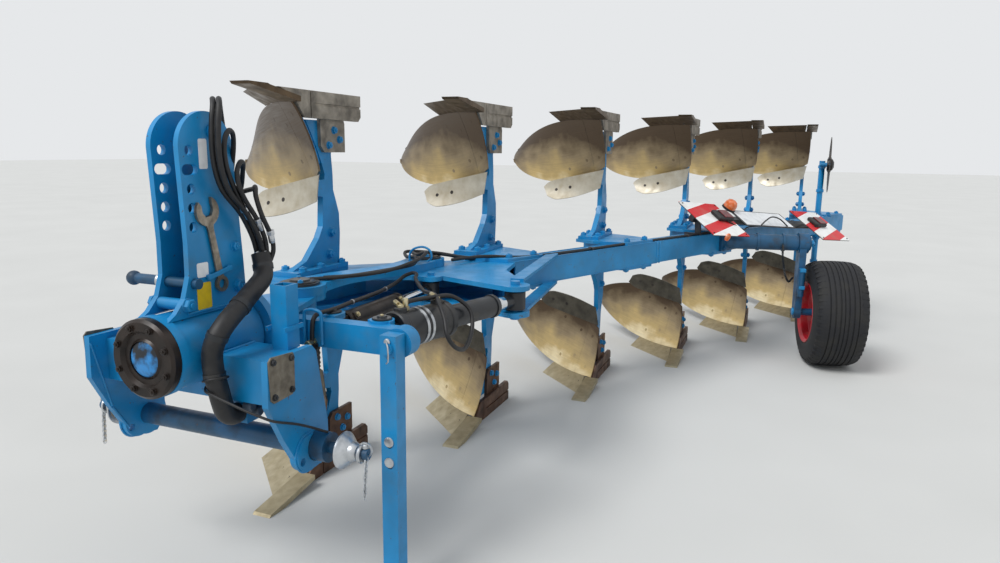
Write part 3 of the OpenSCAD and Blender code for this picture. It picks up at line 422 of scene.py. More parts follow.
class Form:
    """A piece under construction, in millimetres of the row frame."""

    def __init__(self):
        self.mesh = bmesh.new()

    def solid(self, points, faces, place=IDENTITY):
        made = [self.mesh.verts.new(place @ Vector(p)) for p in points]
        for face in faces:
            self.mesh.faces.new([made[i] for i in face])
        return made

    def block(self, low, high, place=IDENTITY, edge=2.0):
        """A box with its edges broken by a small chamfer."""
        edge = min([edge] + [0.45 * (b - a) for a, b in zip(low, high)])
        corners = []
        for n in range(8):
            pick = [(n >> k) & 1 for k in range(3)]
            for flush in range(3):
                corners.append([(high if pick[k] else low)[k] + (0 if k == flush else (-edge if pick[k] else edge))
                                for k in range(3)])
        faces = [[n * 3 + f for f in range(3)] for n in range(8)]
        for axis in range(3):
            u, v = (axis + 1) % 3, (axis + 2) % 3
            for side in (0, 1):
                corner = [(side << axis) | (a << u) | (b << v) for a, b in ((0, 0), (1, 0), (1, 1), (0, 1))]
                faces.append([n * 3 + axis for n in corner])
            for start in (0, 1 << u, 1 << v, 1 << u | 1 << v):
                end = start | 1 << axis
                faces.append([start * 3 + u, end * 3 + u, end * 3 + v, start * 3 + v])
        self.solid(corners, faces, place)

    def loft(self, loops, place=IDENTITY, closed=False):
        """Skin a row of point loops, closed on itself or with its first and last loops as flat ends."""
        rows, n = len(loops), len(loops[0])
        faces = [[j * n + i, j * n + (i + 1) % n, (j + 1) % rows * n + (i + 1) % n, (j + 1) % rows * n + i]
                 for j in range(rows if closed else rows - 1) for i in range(n)]
        if not closed:
            faces += [list(range(n)), list(range(rows * n - n, rows * n))]
        self.solid([p for loop in loops for p in loop], faces, place)

    def lathe(self, profile, place=IDENTITY, steps=24):
        """Turn (height, radius) pairs about the place's own z, closed at both ends."""
        self.loft([[(x, y, z) for x, y in circle(r, steps)] for z, r in profile], place)

    def ring(self, profile, place=IDENTITY, steps=32):
        """Turn a closed outline of (height, radius) pairs about the place's own z."""
        self.loft([[(r * x, r * y, z) for z, r in profile] for x, y in circle(1, steps)], place, True)

    def band(self, half_width, outer, inner, place=IDENTITY, steps=32):
        """A plain ring about the place's own z."""
        self.ring([(-half_width, outer), (half_width, outer), (half_width, inner), (-half_width, inner)], place, steps)

    def prism(self, outline, low, high, place=IDENTITY):
        self.loft([[(x, y, z) for x, y in outline] for z in (low, high)], place)

    def tube(self, points, radius, place=IDENTITY, sides=10, smooth=True, ripple=0.0):
        """A round bar or hose along its route; ripple gives a corrugated one."""
        route = smooth_route(points) if smooth else [Vector(p) for p in points]
        tangents = [(b - a).normalized() for a, b in zip(route[:1] + route, route[1:] + route[-1:])]
        side = tangents[0].orthogonal().normalized()
        loops = []
        for i, (at, ahead) in enumerate(zip(route, tangents)):
            side = (side - ahead * side.dot(ahead)).normalized()
            other = ahead.cross(side)
            r = radius + (ripple if i % 2 else 0.0)
            loops.append([at + r * (side * x + other * y) for x, y in circle(1, sides)])
        self.loft(loops, place)

    def chain(self, points, steps, wire, outer, stretch, place=IDENTITY):
        """Oval links along a hanging route, each a quarter turn from the last."""
        inner, pinch = 7, 0.7
        route = smooth_route(points, steps)
        for i, (a, b) in enumerate(zip(route, route[1:])):
            link = place @ aim((a + b) / 2, b - a) @ turn("Z", 90 * (i % 2)) @ turn("X", 90)
            self.band(wire, outer, inner, link @ Matrix.Diagonal((pinch, stretch, 1, 1)), 12)

    def bolt(self, at, direction, thread=20.0, place=IDENTITY, washer=True):
        """A hexagon head with its chamfer, on a washer; the thread's end shows as a small stub."""
        spot = place @ aim(at, direction)
        base = 0.16 * thread if washer else 0
        head, flat, stub = base + 0.62 * thread, thread * 0.84, thread * 0.36
        if washer:
            self.lathe([(0, thread * 0.95), (0.13 * thread, thread * 0.95), (base, thread * 0.9)], spot, 20)
        self.lathe([(base, flat), (head - 0.1 * thread, flat), (head, thread * 0.7)], spot, 6)
        self.lathe([(head - 1, stub), (head + 0.16 * thread, stub), (head + 0.2 * thread, thread * 0.3)], spot, 12)

    def bolts(self, spots, direction, thread=20.0, place=IDENTITY, washer=True):
        for at in spots:
            self.bolt(at, direction, thread, place, washer)

    def bead(self, start, end, width, place=IDENTITY):
        """A weld bead between two points, with its small scales."""
        a, b = Vector(start), Vector(end)
        steps = max(3, int((b - a).length / (width * 0.9)))
        self.tube([a + (b - a) * (i / steps) for i in range(steps + 1)], width * 0.5, place, 6, False, width * 0.09)

    def finish(self, name, body, finish, angle=32):
        """Make the object in metres, smooth but for its real edges, and let it ride on its body."""
        bmesh.ops.scale(self.mesh, vec=(0.001, 0.001, 0.001), verts=self.mesh.verts)
        bmesh.ops.recalc_face_normals(self.mesh, faces=self.mesh.faces)
        data = bpy.data.meshes.new(name)
        self.mesh.to_mesh(data)
        self.mesh.free()
        data.shade_smooth()
        data.set_sharp_from_angle(angle=math.radians(angle))
        data.materials.append(MATERIALS[finish])
        piece = bpy.data.objects.new(name, data)
        bpy.context.collection.objects.link(piece)
        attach(piece, body)
        return piece


# The working face of a body, the same curves as the CAD panels: a patch between four cubic edges


LOW_EDGE = [(-307, -56, 56), (-430, -290, 40), (-760, -600, 40), (-945, -800, 235)]
TOP_EDGE = [(-478, -58, 335), (-715, -278, 509), (-684, -711, 451), (-915, -820, 305)]
SHIN_EDGE = [(-307, -56, 56), (-350, -46, 105), (-440, -44, 235), (-478, -58, 335)]
WING_EDGE = [(-945, -800, 235), (-975, -835, 255), (-965, -848, 290), (-915, -820, 305)]
TRASH_LOW = (Vector((-480, -60, 352)), Vector((-578, -497, 448)))
TRASH_HIGH = (Vector((-489, -81, 468)), Vector((-508, -430, 553)))
TRASH_BOW, TRASH_HOLLOW = 18, 10
# The share's cutting edge, the stretch of the low edge that it meets, and how near it comes to it
SHARE_FRONT = Vector((-137, -93, 0))
SHARE_TIP = Vector((-452.8, -420, 0))
SHARE_SPAN, SHARE_RISE = (0.058, 0.41), 0.992
# The shin's share of the face at its foot and at its head, and the gap between it and the board
SHIN_LOW, SHIN_HIGH, SHIN_GAP = 0.17, 0.1, 0.0012


def mix(a, b, t):
    return a + (b - a) * t


def curve(points, t):
    a, b, c, d = (Vector(p) for p in points)
    return a * (1 - t) ** 3 + b * 3 * t * (1 - t) ** 2 + c * 3 * t * t * (1 - t) + d * t ** 3


def face_point(u, v):
    corners = [Vector(p) for p in (LOW_EDGE[0], LOW_EDGE[3], TOP_EDGE[0], TOP_EDGE[3])]
    return (mix(curve(LOW_EDGE, u), curve(TOP_EDGE, u), v) + mix(curve(SHIN_EDGE, v), curve(WING_EDGE, v), u)
            - mix(mix(corners[0], corners[1], u), mix(corners[2], corners[3], u), v))


def board_point(a, b):
    return face_point(mix(mix(SHIN_LOW, SHIN_HIGH, b) + SHIN_GAP, 1, a), b)


def shin_point(a, b):
    return face_point(mix(SHIN_LOW, SHIN_HIGH, b) * a, b)


def share_point(a, b):
    return mix(mix(SHARE_FRONT, SHARE_TIP, a), curve(LOW_EDGE, mix(*SHARE_SPAN, a)), b * SHARE_RISE)


def trash_point(a, b):
    """The trashboard's face: hollow across, its outer edge bowed and its free end rounded off."""
    low, high = TRASH_LOW, TRASH_HIGH
    b = 0.5 + (b - 0.5) * (1 - 0.5 * max(0.0, (a - 0.8) / 0.2) ** 2)
    back = (low[1] - low[0]).cross(high[0] - low[0]).normalized()
    bow = (high[0] - low[0]).normalized() * TRASH_BOW * math.sin(math.pi * a) * b
    hollow = back * 4 * TRASH_HOLLOW * b * (1 - b) * math.sin(math.pi * a / 2)
    return mix(mix(low[0], low[1], a), mix(high[0], high[1], a), b) + bow + hollow


def set_back(spot, a, b, depth):
    """The point of a panel set back behind its face, and the way that its face looks."""
    e = 0.01
    p = spot(a, b)
    normal = (spot(a + e, b) - p).cross(spot(a, b + e) - p).normalized()
    return p + normal * depth, -normal


def curved_panels(name, spot, thickness, na, nb, finish, flow):
    """The same curved plate on all bodies, rim eased, with a flow map in metres along and across the soil's way."""
    points, marks = [], []
    # How far the rim is eased into the plate and along it, and the size by which the latter is a share
    drop, ease, length, height = 0.9, 1.2, 800, 400
    for depth, inset in ((drop, 0.0), (0.0, ease), (thickness, ease), (thickness - drop, 0.0)):
        for j in range(nb + 1):
            for i in range(na + 1):
                a = min(max(i / na, inset / length), 1 - inset / length)
                b = min(max(j / nb, inset / height), 1 - inset / height)
                points.append(set_back(spot, a, b, depth)[0])
                marks.append((flow[0] + flow[1] * a, flow[2] + flow[3] * b))
    w = na + 1
    layer = w * (nb + 1)
    rim = ([i for i in range(na)] + [na + w * j for j in range(nb)] + [w * nb + na - i for i in range(na)]
           + [w * (nb - j) for j in range(nb)])
    quads = [[p, p + 1, p + w + 1, p + w] for level in (1, 2) for j in range(nb)
             for p in range(level * layer + j * w, level * layer + j * w + na)]
    for a, b in ((1, 0), (0, 3), (3, 2)):
        quads += [[a * layer + p, a * layer + q, b * layer + q, b * layer + p] for p, q in zip(rim, rim[1:] + rim[:1])]
    form = Form()
    uv_layer = form.mesh.loops.layers.uv.new("flow")
    for place in every_body():
        for vert, mark in zip(form.solid(points, quads, place), marks):
            for loop in vert.link_loops:
                loop[uv_layer].uv = mark
            if not vert.link_faces:
                form.mesh.verts.remove(vert)
    return form.finish(name, "beam", finish, 28)


# Operators, one for each group of pieces


class PLOUGH_OT_finishes(Operator):
    """Make the finishes and put them on the CAD pieces"""
    bl_idname = "plough.finishes"
    bl_label = "Finishes"

    def execute(self, context):
        make_materials()
        for part in frame["record"]["subparts"]:
            node = bpy.data.objects[part["node"]]
            material = MATERIALS[OWN_FINISH.get(part["node"], part["material_slot"])]
            if not node.material_slots:
                node.data.materials.append(material)
            for slot in node.material_slots:
                slot.material = material
        return {"FINISHED"}


class PLOUGH_OT_boards(Operator):
    """Put finely curved mouldboards, shins and trashboards in place of the faceted ones"""
    bl_idname = "plough.boards"
    bl_label = "Mouldboards, shins and trashboards"

    def execute(self, context):
        boards = curved_panels("mouldboards_scoured", board_point, 8, 30, 16, "worn_board", (0.12, 0.8, 0.0, 0.42))
        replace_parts(boards, "mouldboards")
        shins = curved_panels("shins_scoured", shin_point, 8, 6, 16, "worn_board", (0.0, 0.12, 0.0, 0.42))
        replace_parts(shins, "shins")
        trash = curved_panels("trashboards_bowed", trash_point, 5, 20, 6, "pale_plastic", (0.0, 0.4, 0.0, 0.12))
        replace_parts(trash, "trashboards")
        return {"FINISHED"}


class PLOUGH_OT_body_bolts(Operator):
    """Bolt the boards, shares, trashboards, landsides and legs"""
    bl_idname = "plough.body_bolts"
    bl_label = "Body bolts"

    # Holes of each panel, as shares of its length and height
    BOARD_HOLES = [(0.06, 0.3), (0.06, 0.72), (0.22, 0.2), (0.24, 0.8)]
    SHIN_HOLES = [(0.5, 0.2), (0.5, 0.75)]
    SHARE_HOLES = [(0.12, 0.6), (0.42, 0.6), (0.8, 0.6)]
    # The dark heads in the trashboards' holes are partly bolts and partly the painted shade of the holes
    TRASH_HOLES = [(0.55, 0.5), (0.8, 0.5)]
    # Bolts through the landside, and the face that they sit on; middle and underside of the leg's flange
    LANDSIDE_HOLES, LANDSIDE_Y = [(-560, 225), (-640, 200), (-600, 160)], -59
    FLANGE_Y, FLANGE_Z = -90, 748.1

    def execute(self, context):
        head, thread = sizes().board_bolt * 500, sizes().bolt * 1000
        worn, dark, hexagons = Form(), Form(), Form()
        rows = ((worn, board_point, self.BOARD_HOLES), (worn, shin_point, self.SHIN_HOLES),
                (dark, share_point, self.SHARE_HOLES), (dark, trash_point, self.TRASH_HOLES))
        for place in every_body():
            for form, spot, holes in rows:
                for a, b in holes:
                    at, out = set_back(spot, a, b, 0.3)
                    form.lathe([(0, head), (0.7, head), (1.0, head * 0.8), (0.6, head * 0.45), (0.6, head * 0.4)],
                               place @ aim(at, out), 14)
            hexagons.bolts([(x, self.LANDSIDE_Y, z) for x, z in self.LANDSIDE_HOLES], (0, 1, 0), 18, place)
            for y, way in ((LEG_NEAR, 1), (LEG_FAR, -1)):
                hexagons.bolts([(-565, y, 705), (-585, y, 610)], (0, way, 0), thread, place)
            hexagons.bolts([(x, self.FLANGE_Y + y, self.FLANGE_Z) for x in (-612, -455, -330) for y in (-45, 45)],
                           (0, 0, -1), 20, place)
        worn.finish("countersunk_board_bolts", "beam", "worn_board")
        dark.finish("countersunk_share_bolts", "beam", "disc_steel")
        hexagons.finish("leg_bolts", "beam", "blue_paint")
        return {"FINISHED"}


class PLOUGH_OT_beam_details(Operator):
    """Add the beam's weld beads, the bolts of its consoles and end plate, the pins' keepers and the long hose on the
    beam with its clips
    """
    bl_idname = "plough.beam_details"
    bl_label = "Beam fittings"

    # Half width of the beam with its beads, height of the consoles, the beam's rear face, where the beads along
    # the beam end, and where those round it lie
    HALF, CONSOLE_Z, REAR_FACE, SEAM, RINGS = 66, 84, 5552.2, (1330, 2560), (2574, 2606)
    HOSE = [
        (1010, 60, 92), (1100, 40, 96), (1230, 30, 92), (1420, -36, 78), (1760, -44, 74), (2200, -40, 74),
        (2700, -44, 74), (3250, -50, 74), (3420, -58, 76), (3500, -70, 78), (3560, -80, 50),
    ]
    HOSE_CLIPS = (1500, 1950, 2450, 2950)

    def execute(self, context):
        width, half = sizes().bead * 1000, self.HALF
        beads, bolts, caps, hose, clips = Form(), Form(), Form(), Form(), Form()
        square = [(-half, -half), (half, -half), (half, half), (-half, half), (-half, -half)]
        for y, z in square[:4]:
            beads.bead((self.SEAM[0], y, z), (self.SEAM[1], y, z), width * 0.5, BEAM)
        for k in self.RINGS:
            beads.tube([(k, y, z) for y, z in square], width * 0.45, BEAM, 6, False)
        for k in [i * SPACING + 440 for i in range(1, BODIES)]:
            for side in SIDES:
                beads.bead((k - 168, -62, side * half), (k + 92, -62, side * half), width * 0.8, BEAM)
                bolts.bolts([(k + x, -20, side * self.CONSOLE_Z) for x in (-120, 60)], (0, 0, side), 20, BEAM)
        bolts.bolts([(self.REAR_FACE, x, y) for x in (-45, 45) for y in (-45, 45)], (1, 0, 0), 16, BEAM)
        for centre in (PIVOT, BEAM_PIN):
            for side in SIDES:
                caps.lathe([(0, 62), (3, 62), (5, 58), (5, 40), (11, 38)],
                           shift(*centre, AXIS_Z + side * 109.8) @ flip(side), 32)
                bolts.bolts([(centre[0] + x, centre[1] + y, AXIS_Z + side * 114) for x, y in circle(49, 2, 40)],
                            (0, 0, side), 12)
        hose.tube(self.HOSE, sizes().hose * 500, BEAM)
        for k in self.HOSE_CLIPS:
            clips.block((k - 9, -58, 65.2), (k + 9, -26, 84), BEAM, 3)
        beads.finish("beam_weld_beads", "beam", "blue_paint", 60)
        bolts.finish("beam_bolts", "beam", "blue_paint")
        caps.finish("pin_keeper_plates", "beam", "dark_steel")
        hose.finish("beam_hose", "beam", "hose_rubber")
        clips.finish("beam_hose_clips", "beam", "dark_steel")
        return {"FINISHED"}


class PLOUGH_OT_tower_details(Operator):
    """Fit the blank labels, spanner, bolts and linch pins of the tower"""
    bl_idname = "plough.tower_details"
    bl_label = "Tower fittings"

    LABELS = [
        ("upper_blank_label", "sticker_white", (74, 108), (868, 958)),
        ("small_blank_label", "sticker_white", (97, 143), (540, 585)),
        ("yellow_blank_label", "sticker_yellow", (90, 148), (440, 523)),
    ]

    def execute(self, context):
        for name, finish, (x0, x1), (z0, z1) in self.LABELS:
            label = Form()
            label.prism([(x0 + 4, z0), (x1 - 4, z0), (x1, z0 + 4), (x1, z1 - 4), (x1 - 4, z1), (x0 + 4, z1),
                         (x0, z1 - 4), (x0, z0 + 4)], -TOWER_FACE - 1.2, -TOWER_FACE - 0.1, turn("X", 90))
            label.finish(name, "headstock", finish)
        self.spanner()
        bolts, pins = Form(), Form()
        for side in SIDES:
            for x, z, thread in ((-21, 800, 18), (-21, 620, 18), (-30, 490, 24), (188, 465, 24)):
                bolts.bolt((x, side * TOWER_FACE, z), (0, side, 0), thread)
            bolts.lathe([(0, 20), (4, 20), (6, 16)], aim((45, side * 70, 980), (0, side, 0)))
        pins.lathe([(0, 21), (6, 23), (12, 23), (14, 20)], aim((155, -64, 525), (0, -1, 0)))
        for z in (700, 762, 824, 886):
            pins.lathe([(0, 13), (5, 12), (8, 7), (9, 0.5)], aim((22, -43.8, z), (0, 1, 0)), 16)
        bolts.finish("tower_bolts", "headstock", "blue_paint")
        pins.finish("tower_lynch_pins", "headstock", "zinc")
        return {"FINISHED"}

    def spanner(self):
        """An open-ended spanner hung on the plate, held by a strap."""
        tool, clip = Form(), Form()
        place = shift(73, 0, 625) @ turn("Y", 11) @ turn("X", 90)
        shaft = [(-13, -98), (13, -98), (11, 60), (17, 84), (-17, 84), (-11, 60)]
        jaws = [(math.cos(math.radians(a)) * 46, 118 + math.sin(math.radians(a)) * 46) for a in range(122, 419, 16)]
        jaws += [(22, 140), (22, 118), (12, 102), (-12, 102), (-22, 118), (-22, 140)]
        tool.prism(shaft, -TOWER_FACE - 10, -TOWER_FACE - 4, place)
        tool.prism(jaws, -TOWER_FACE - 12, -TOWER_FACE - 2, place)
        tool.band(5, 25, 15, place @ shift(0, -118, -TOWER_FACE - 7), 28)
        clip.block((-52, -88, -TOWER_FACE - 15), (52, -72, -TOWER_FACE - 10.2), place)
        for x in (-44, 44):
            clip.block((x - 8, -88, -TOWER_FACE - 11), (x + 8, -72, -TOWER_FACE - 0.2), place)
        tool.finish("hung_spanner", "headstock", "tool_steel")
        clip.finish("spanner_clip", "headstock", "blue_paint")


class PLOUGH_OT_headstock_details(Operator):
    """Add the ring's cap and bolts, the cheek's cover plate, linch pins, chains and weld beads"""
    bl_idname = "plough.headstock_details"
    bl_label = "Headstock fittings"

    # Front of the ring and its bolt circle, a cheek's inner face with its bead, and the hole of a hitch pin's end
    RING_FACE, RING_CIRCLE, CHEEK_INSIDE, PIN_HOLE = 312.3, 98, 343.5, 553
    COVER = [(-52, -62), (46, -70), (58, -58), (52, 60), (40, 70), (-44, 66), (-56, 52), (-58, -50)]
    COVER_AT = (150, 270)
    COVER_HOLES = [(-40, 50), (38, 52), (-42, -48), (40, -54)]
    GUIDE = [
        (-145, 231, 286), (-145, 231, 340), (-145, 232, 385), (-145, 240, 398), (-145, 266, 403), (-145, 291, 398),
        (-145, 299, 385), (-145, 300, 340), (-145, 300, 286),
    ]
    COIL = [
        (-146, 264, 288), (-144, 262, 262), (-144, 256, 210), (-152, 246, 168), (-176, 238, 160), (-194, 234, 190),
        (-198, 232, 262),
    ]

    def execute(self, context):
        width, (cover_x, cover_z) = sizes().bead * 1000, self.COVER_AT
        cap, studs, cover, bolts, beads = Form(), Form(), Form(), Form(), Form()
        cap.lathe([(0, 54), (8, 54), (11, 48), (14, 30), (15, 12)], aim((294, 0, AXIS_Z), (1, 0, 0)), 40)
        studs.bolts([(self.RING_FACE, y, AXIS_Z + z) for y, z in circle(self.RING_CIRCLE, 8, 22)], (1, 0, 0), 12)
        hub = circle(62, 30)
        for side in SIDES:
            face = shift(cover_x, side * CHEEK_FACE, cover_z) @ turn("X", -90) @ flip(side)
            cover.prism(self.COVER, 0.1, 5, face)
            bolts.bolts([(cover_x + x, side * (CHEEK_FACE + 5), cover_z - z) for x, z in self.COVER_HOLES],
                        (0, side, 0), 11)
            for x0, z0, x1, z1 in ((208, 316, 148, 78), (148, 78, 92, -16)):
                y = side * self.CHEEK_INSIDE
                beads.bead((x0 - 3, y, z0 - 8), (x1 - 3, y, z1 - 4), width)
            beads.tube([(40 + x, side * (CHEEK_FACE + 0.5), -10 + z) for x, z in hub + hub[:1]], width * 0.5,
                       sides=6, smooth=False)
            for x0, x1, y, z in ((-18, 140, 52, 309), (-60, 190, 62, 437), (-18, 142, 128, 309)):
                beads.bead((x0, side * y, z), (x1, side * y, z), width)
        cap.finish("shaft_end_cap", "headstock", "greasy_cap")
        studs.finish("front_ring_bolts", "headstock", "grease")
        cover.finish("cheek_cover_plates", "headstock", "brown_plate")
        bolts.finish("cheek_cover_bolts", "headstock", "dark_steel")
        beads.finish("headstock_weld_beads", "headstock", "blue_paint", 60)
        self.linch_pins()
        guide, coil = Form(), Form()
        guide.tube(self.GUIDE, 6, sides=12)
        coil.tube(smooth_route(self.COIL, 9), 14.5, sides=14, smooth=False, ripple=3.5)
        guide.finish("hose_guide_rod", "turn_frame", "blue_paint")
        coil.finish("corrugated_sleeve", "turn_frame", "hose_rubber", 80)
        return {"FINISHED"}

    def linch_pins(self):
        """A plated linch pin through each hitch pin's end, its ring and a short hanging chain."""
        pins, chain = Form(), Form()
        for side in SIDES:
            y = side * self.PIN_HOLE
            pins.lathe([(0, 6), (58, 6), (62, 3)], shift(0, y, -30), 14)
            pins.lathe([(0, 11), (10, 11), (13, 7)], shift(0, y, 20), 16)
            pins.band(2.5, 25, 20, shift(0, y, 14) @ turn("X", 90) @ turn("Y", 90), 28)
            pins.lathe([(0, 30), (3, 31), (7, 31), (10, 27)], aim((0, side * 536, 0), (0, side, 0)), 28)
            chain.chain([(6, y + side * 6, -10), (10, y + side * 6, -50), (13, y + side * 5, -95),
                         (16, y + side * 4, -140)], 5, 1.8, 10.5, 1.25)
        pins.finish("linch_pins", "headstock", "zinc")
        chain.finish("linch_chains", "headstock", "zinc")


class PLOUGH_OT_hose_fittings(Operator):
    """Add the hoses with their ferrules, unions, caps and clamps"""
    bl_idname = "plough.hose_fittings"
    bl_label = "Hoses and their fittings"

    # Diameters of the fixed kinds of hose, the sleeve's radius and the distance between the two feed hoses
    FEED_D, GEAR_D, LINE_D, SLEEVE_R, FEED_PITCH = 18, 16, 8, 31, 24
    # Hoses that the CAD has in simpler form: from the turnover valve to the sleeve, the sleeve down to its block
    # under the cross box, and from the width cylinder along the swing gear to the swing cylinder
    FEED = [
        (-60, -12, 745), (-60, -12, 850), (-48, -4, 960), (-10, 22, 1045), (26, 52, 1078), (60, 84, 1056),
        (78, 92, 1000), (84, 94, 930), (76, 94, 865), (48, 94, 800), (-20, 96, 728), (-64, 98, 655), (-84, 98, 600),
        (-88, 98, 575),
    ]
    SLEEVE = [
        (-88, 110, 590), (-80, 124, 548), (-49, 145, 516), (20, 162, 487), (92, 176, 455), (160, 183, 420),
        (200, 181, 384), (208, 168, 345), (204, 160, 306), (202, 163, 262), (200, 172, 222), (192, 174, 182),
        (176, 172, 142), (150, 172, 122), (120.2, 172, 122),
    ]
    GEAR = [
        (-151.7, 262, 292), (-144, 262, 292), (-139, 264, 304), (-138, 267, 340), (-141, 269, 367),
        (-156, 272, 383), (-190, 274, 386), (-274, 265, 380), (-403, 250, 378), (-550, 235, 374), (-696, 215, 372),
        (-836, 190, 376), (-908, 186, 390), (-940, 208, 400), (-908, 246, 402), (-841, 278, 394), (-679, 400, 384),
        (-540, 520, 404), (-420, 600, 398), (-370, 645, 360), (-340, 672, 305), (-387, 684, 256), (-480, 676, 236),
        (-560, 664, 285), (-590, 640, 350), (-560, 580, 400), (-460, 545, 410), (-372, 520, 414), (-345, 512, 410),
        (-338, 510, 398), (-338, 510, 385.3),
    ]
    # Loose hoses of the tower, from the turnover valve to the sleeve, clear of the stand's sweep at turnover
    TOWER_HOSES = {
        "tower_hose_a": [
            (-62, 12, 735), (-60, 20, 790), (-46, 46, 862), (-28, 74, 930), (-4, 96, 972), (28, 110, 984),
            (54, 116, 956), (60, 118, 904), (44, 118, 844), (-8, 116, 752), (-62, 116, 668), (-90, 116, 590),
        ],
        "tower_hose_b": [
            (-92, 12, 735), (-92, 24, 765), (-76, 56, 812), (-44, 92, 858), (-20, 116, 884), (6, 128, 888),
            (26, 132, 862), (24, 134, 818), (-4, 132, 770), (-56, 130, 704), (-94, 126, 636), (-102, 124, 578),
        ],
        "tower_hose_c": [
            (-92, -12, 735), (-104, -8, 762), (-110, 30, 788), (-96, 84, 800), (-66, 120, 808), (-46, 138, 780),
            (-62, 144, 720), (-104, 142, 650), (-118, 138, 600), (-104, 132, 560),
        ],
    }
    # Loose hoses over the upper swing arm, from the swing pivot through their hook to the beam
    ARM_HOSES = {
        "arm_hose_long": [
            (-470, -12, 430), (-588, 92, 431), (-734, 150, 432), (-883, 184, 432), (-980, 196, 436),
            (-1059, 160, 452), (-1120, 80, 440), (-1200, 40, 452), (-1290, 150, 440), (-1400, 220, 412),
            (-1480, 270, 397),
        ],
        "arm_hose_short": [
            (-540, 30, 430), (-640, 130, 432), (-790, 190, 436), (-930, 240, 462), (-1059, 214, 478),
            (-1130, 130, 452), (-1230, 60, 446), (-1320, 180, 430), (-1420, 240, 402), (-1490, 288, 397),
        ],
    }
    ARM_HOOK = [
        (-1059, 130, 419), (-1059, 130, 462), (-1059, 150, 488), (-1059, 196, 500), (-1059, 232, 486),
        (-1059, 240, 456), (-1059, 222, 436),
    ]
    # The thin line wound round the sleeve, as angle and height on it, and its way over the cheek to the crossbar's
    # collar. The sleeve's middle runs over a foot point at height 0 and leans by a share of the height
    LINE_TURN = [
        (-70, 244), (-40, 249), (-10, 255), (20, 260), (50, 262), (80, 261), (110, 258), (140, 254), (170, 249),
        (200, 243), (230, 237), (260, 231), (290, 226), (320, 222), (345, 219),
    ]
    LINE = [
        (238, 190, 214), (239, 235, 203), (234, 290, 186), (222, 338, 168), (204, 368, 152), (176, 378, 139),
        (140, 379, 124), (104, 380, 108), (72, 386, 92), (40, 398, 74), (18, 411, 60), (6, 420, 53),
    ]
    SLEEVE_FOOT, SLEEVE_LEAN = (201, 222), 0.225
    # Where a clamp sits on the sleeve, and which way the sleeve runs there
    SLEEVE_CLAMPS = [((-80, 124, 548), (0.2, 0.3, -0.93)), ((92, 176, 455), (0.85, 0.05, -0.5)),
                     ((202, 163, 262), (0, 0.1, -1)), ((200, 181, 384), (0.2, -0.3, -0.9))]

    def free_hose(self, name, body, points, diameter):
        """A hydraulic hose fixed at both ends and free between them; its length along the route is measured."""
        form = Form()
        form.tube(points, diameter / 2)
        piece = form.finish(name, body, "hose_rubber", 60)
        path = [point / 1000 for point in smooth_route(points)]
        length = sum((b - a).length for a, b in zip(path, path[1:]))
        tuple(path[0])
        return piece

    def ferrule(self, form, at, direction, radius):
        place = aim(at, direction)
        form.lathe([(0, radius * 1.15), (4, radius * 1.3), (26, radius * 1.3), (30, radius * 1.1), (42, radius * 1.1)],
                   place, 16)
        form.lathe([(30, radius * 1.75), (42, radius * 1.75), (44, radius * 1.5)], place, 6)

    def wound_line(self):
        """The whole way of the thin line, its turn laid round the leaning sleeve with 1 mm to spare."""
        r = self.SLEEVE_R + self.LINE_D / 2 + 1
        (x, y), lean = self.SLEEVE_FOOT, self.SLEEVE_LEAN
        angles = [(math.radians(a), z) for a, z in self.LINE_TURN]
        return [(x + r * math.cos(a), y - lean * z + r * math.sin(a), z) for a, z in angles] + self.LINE

    def execute(self, context):
        thin = sizes().hose * 1000
        for i in range(2):
            route = [(x, y + self.FEED_PITCH * i, z) for x, y, z in self.FEED]
            feed = self.free_hose("feed_hose_" + str(i + 1), "headstock", route, self.FEED_D)
            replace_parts(feed, "feed_hoses")
        sleeve = Form()
        sleeve.tube(self.SLEEVE, self.SLEEVE_R, sides=20)
        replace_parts(sleeve.finish("hose_sleeve", "headstock", "hose_rubber", 60), "feed_hoses")
        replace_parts(self.free_hose("swing_gear_hose", "turn_frame", self.GEAR, self.GEAR_D), "gear_hoses")
        for name, route in self.TOWER_HOSES.items():
            self.free_hose(name, "headstock", route, thin)
        self.free_hose("wound_line", "headstock", self.wound_line(), self.LINE_D)
        for name, route in self.ARM_HOSES.items():
            self.free_hose(name, "beam", route, thin)
        self.headstock_fittings()
        unions, ties, hook = Form(), Form(), Form()
        self.ferrule(unions, (-338, 510, 428), (0, 0, -1), 8)
        self.ferrule(unions, (-112, 262, 292), (-1, 0, 0), 8)
        for at in ((-403, 250, 378), (-696, 215, 372)):
            ties.band(4, 10, 7.6, aim(at, (-1, -0.1, 0)), 16)
        hook.tube(self.ARM_HOOK, 5)
        unions.finish("gear_hose_unions", "turn_frame", "brass")
        ties.finish("hose_ties", "turn_frame", "zinc")
        hook.finish("arm_hose_hook", "beam", "blue_paint")
        return {"FINISHED"}

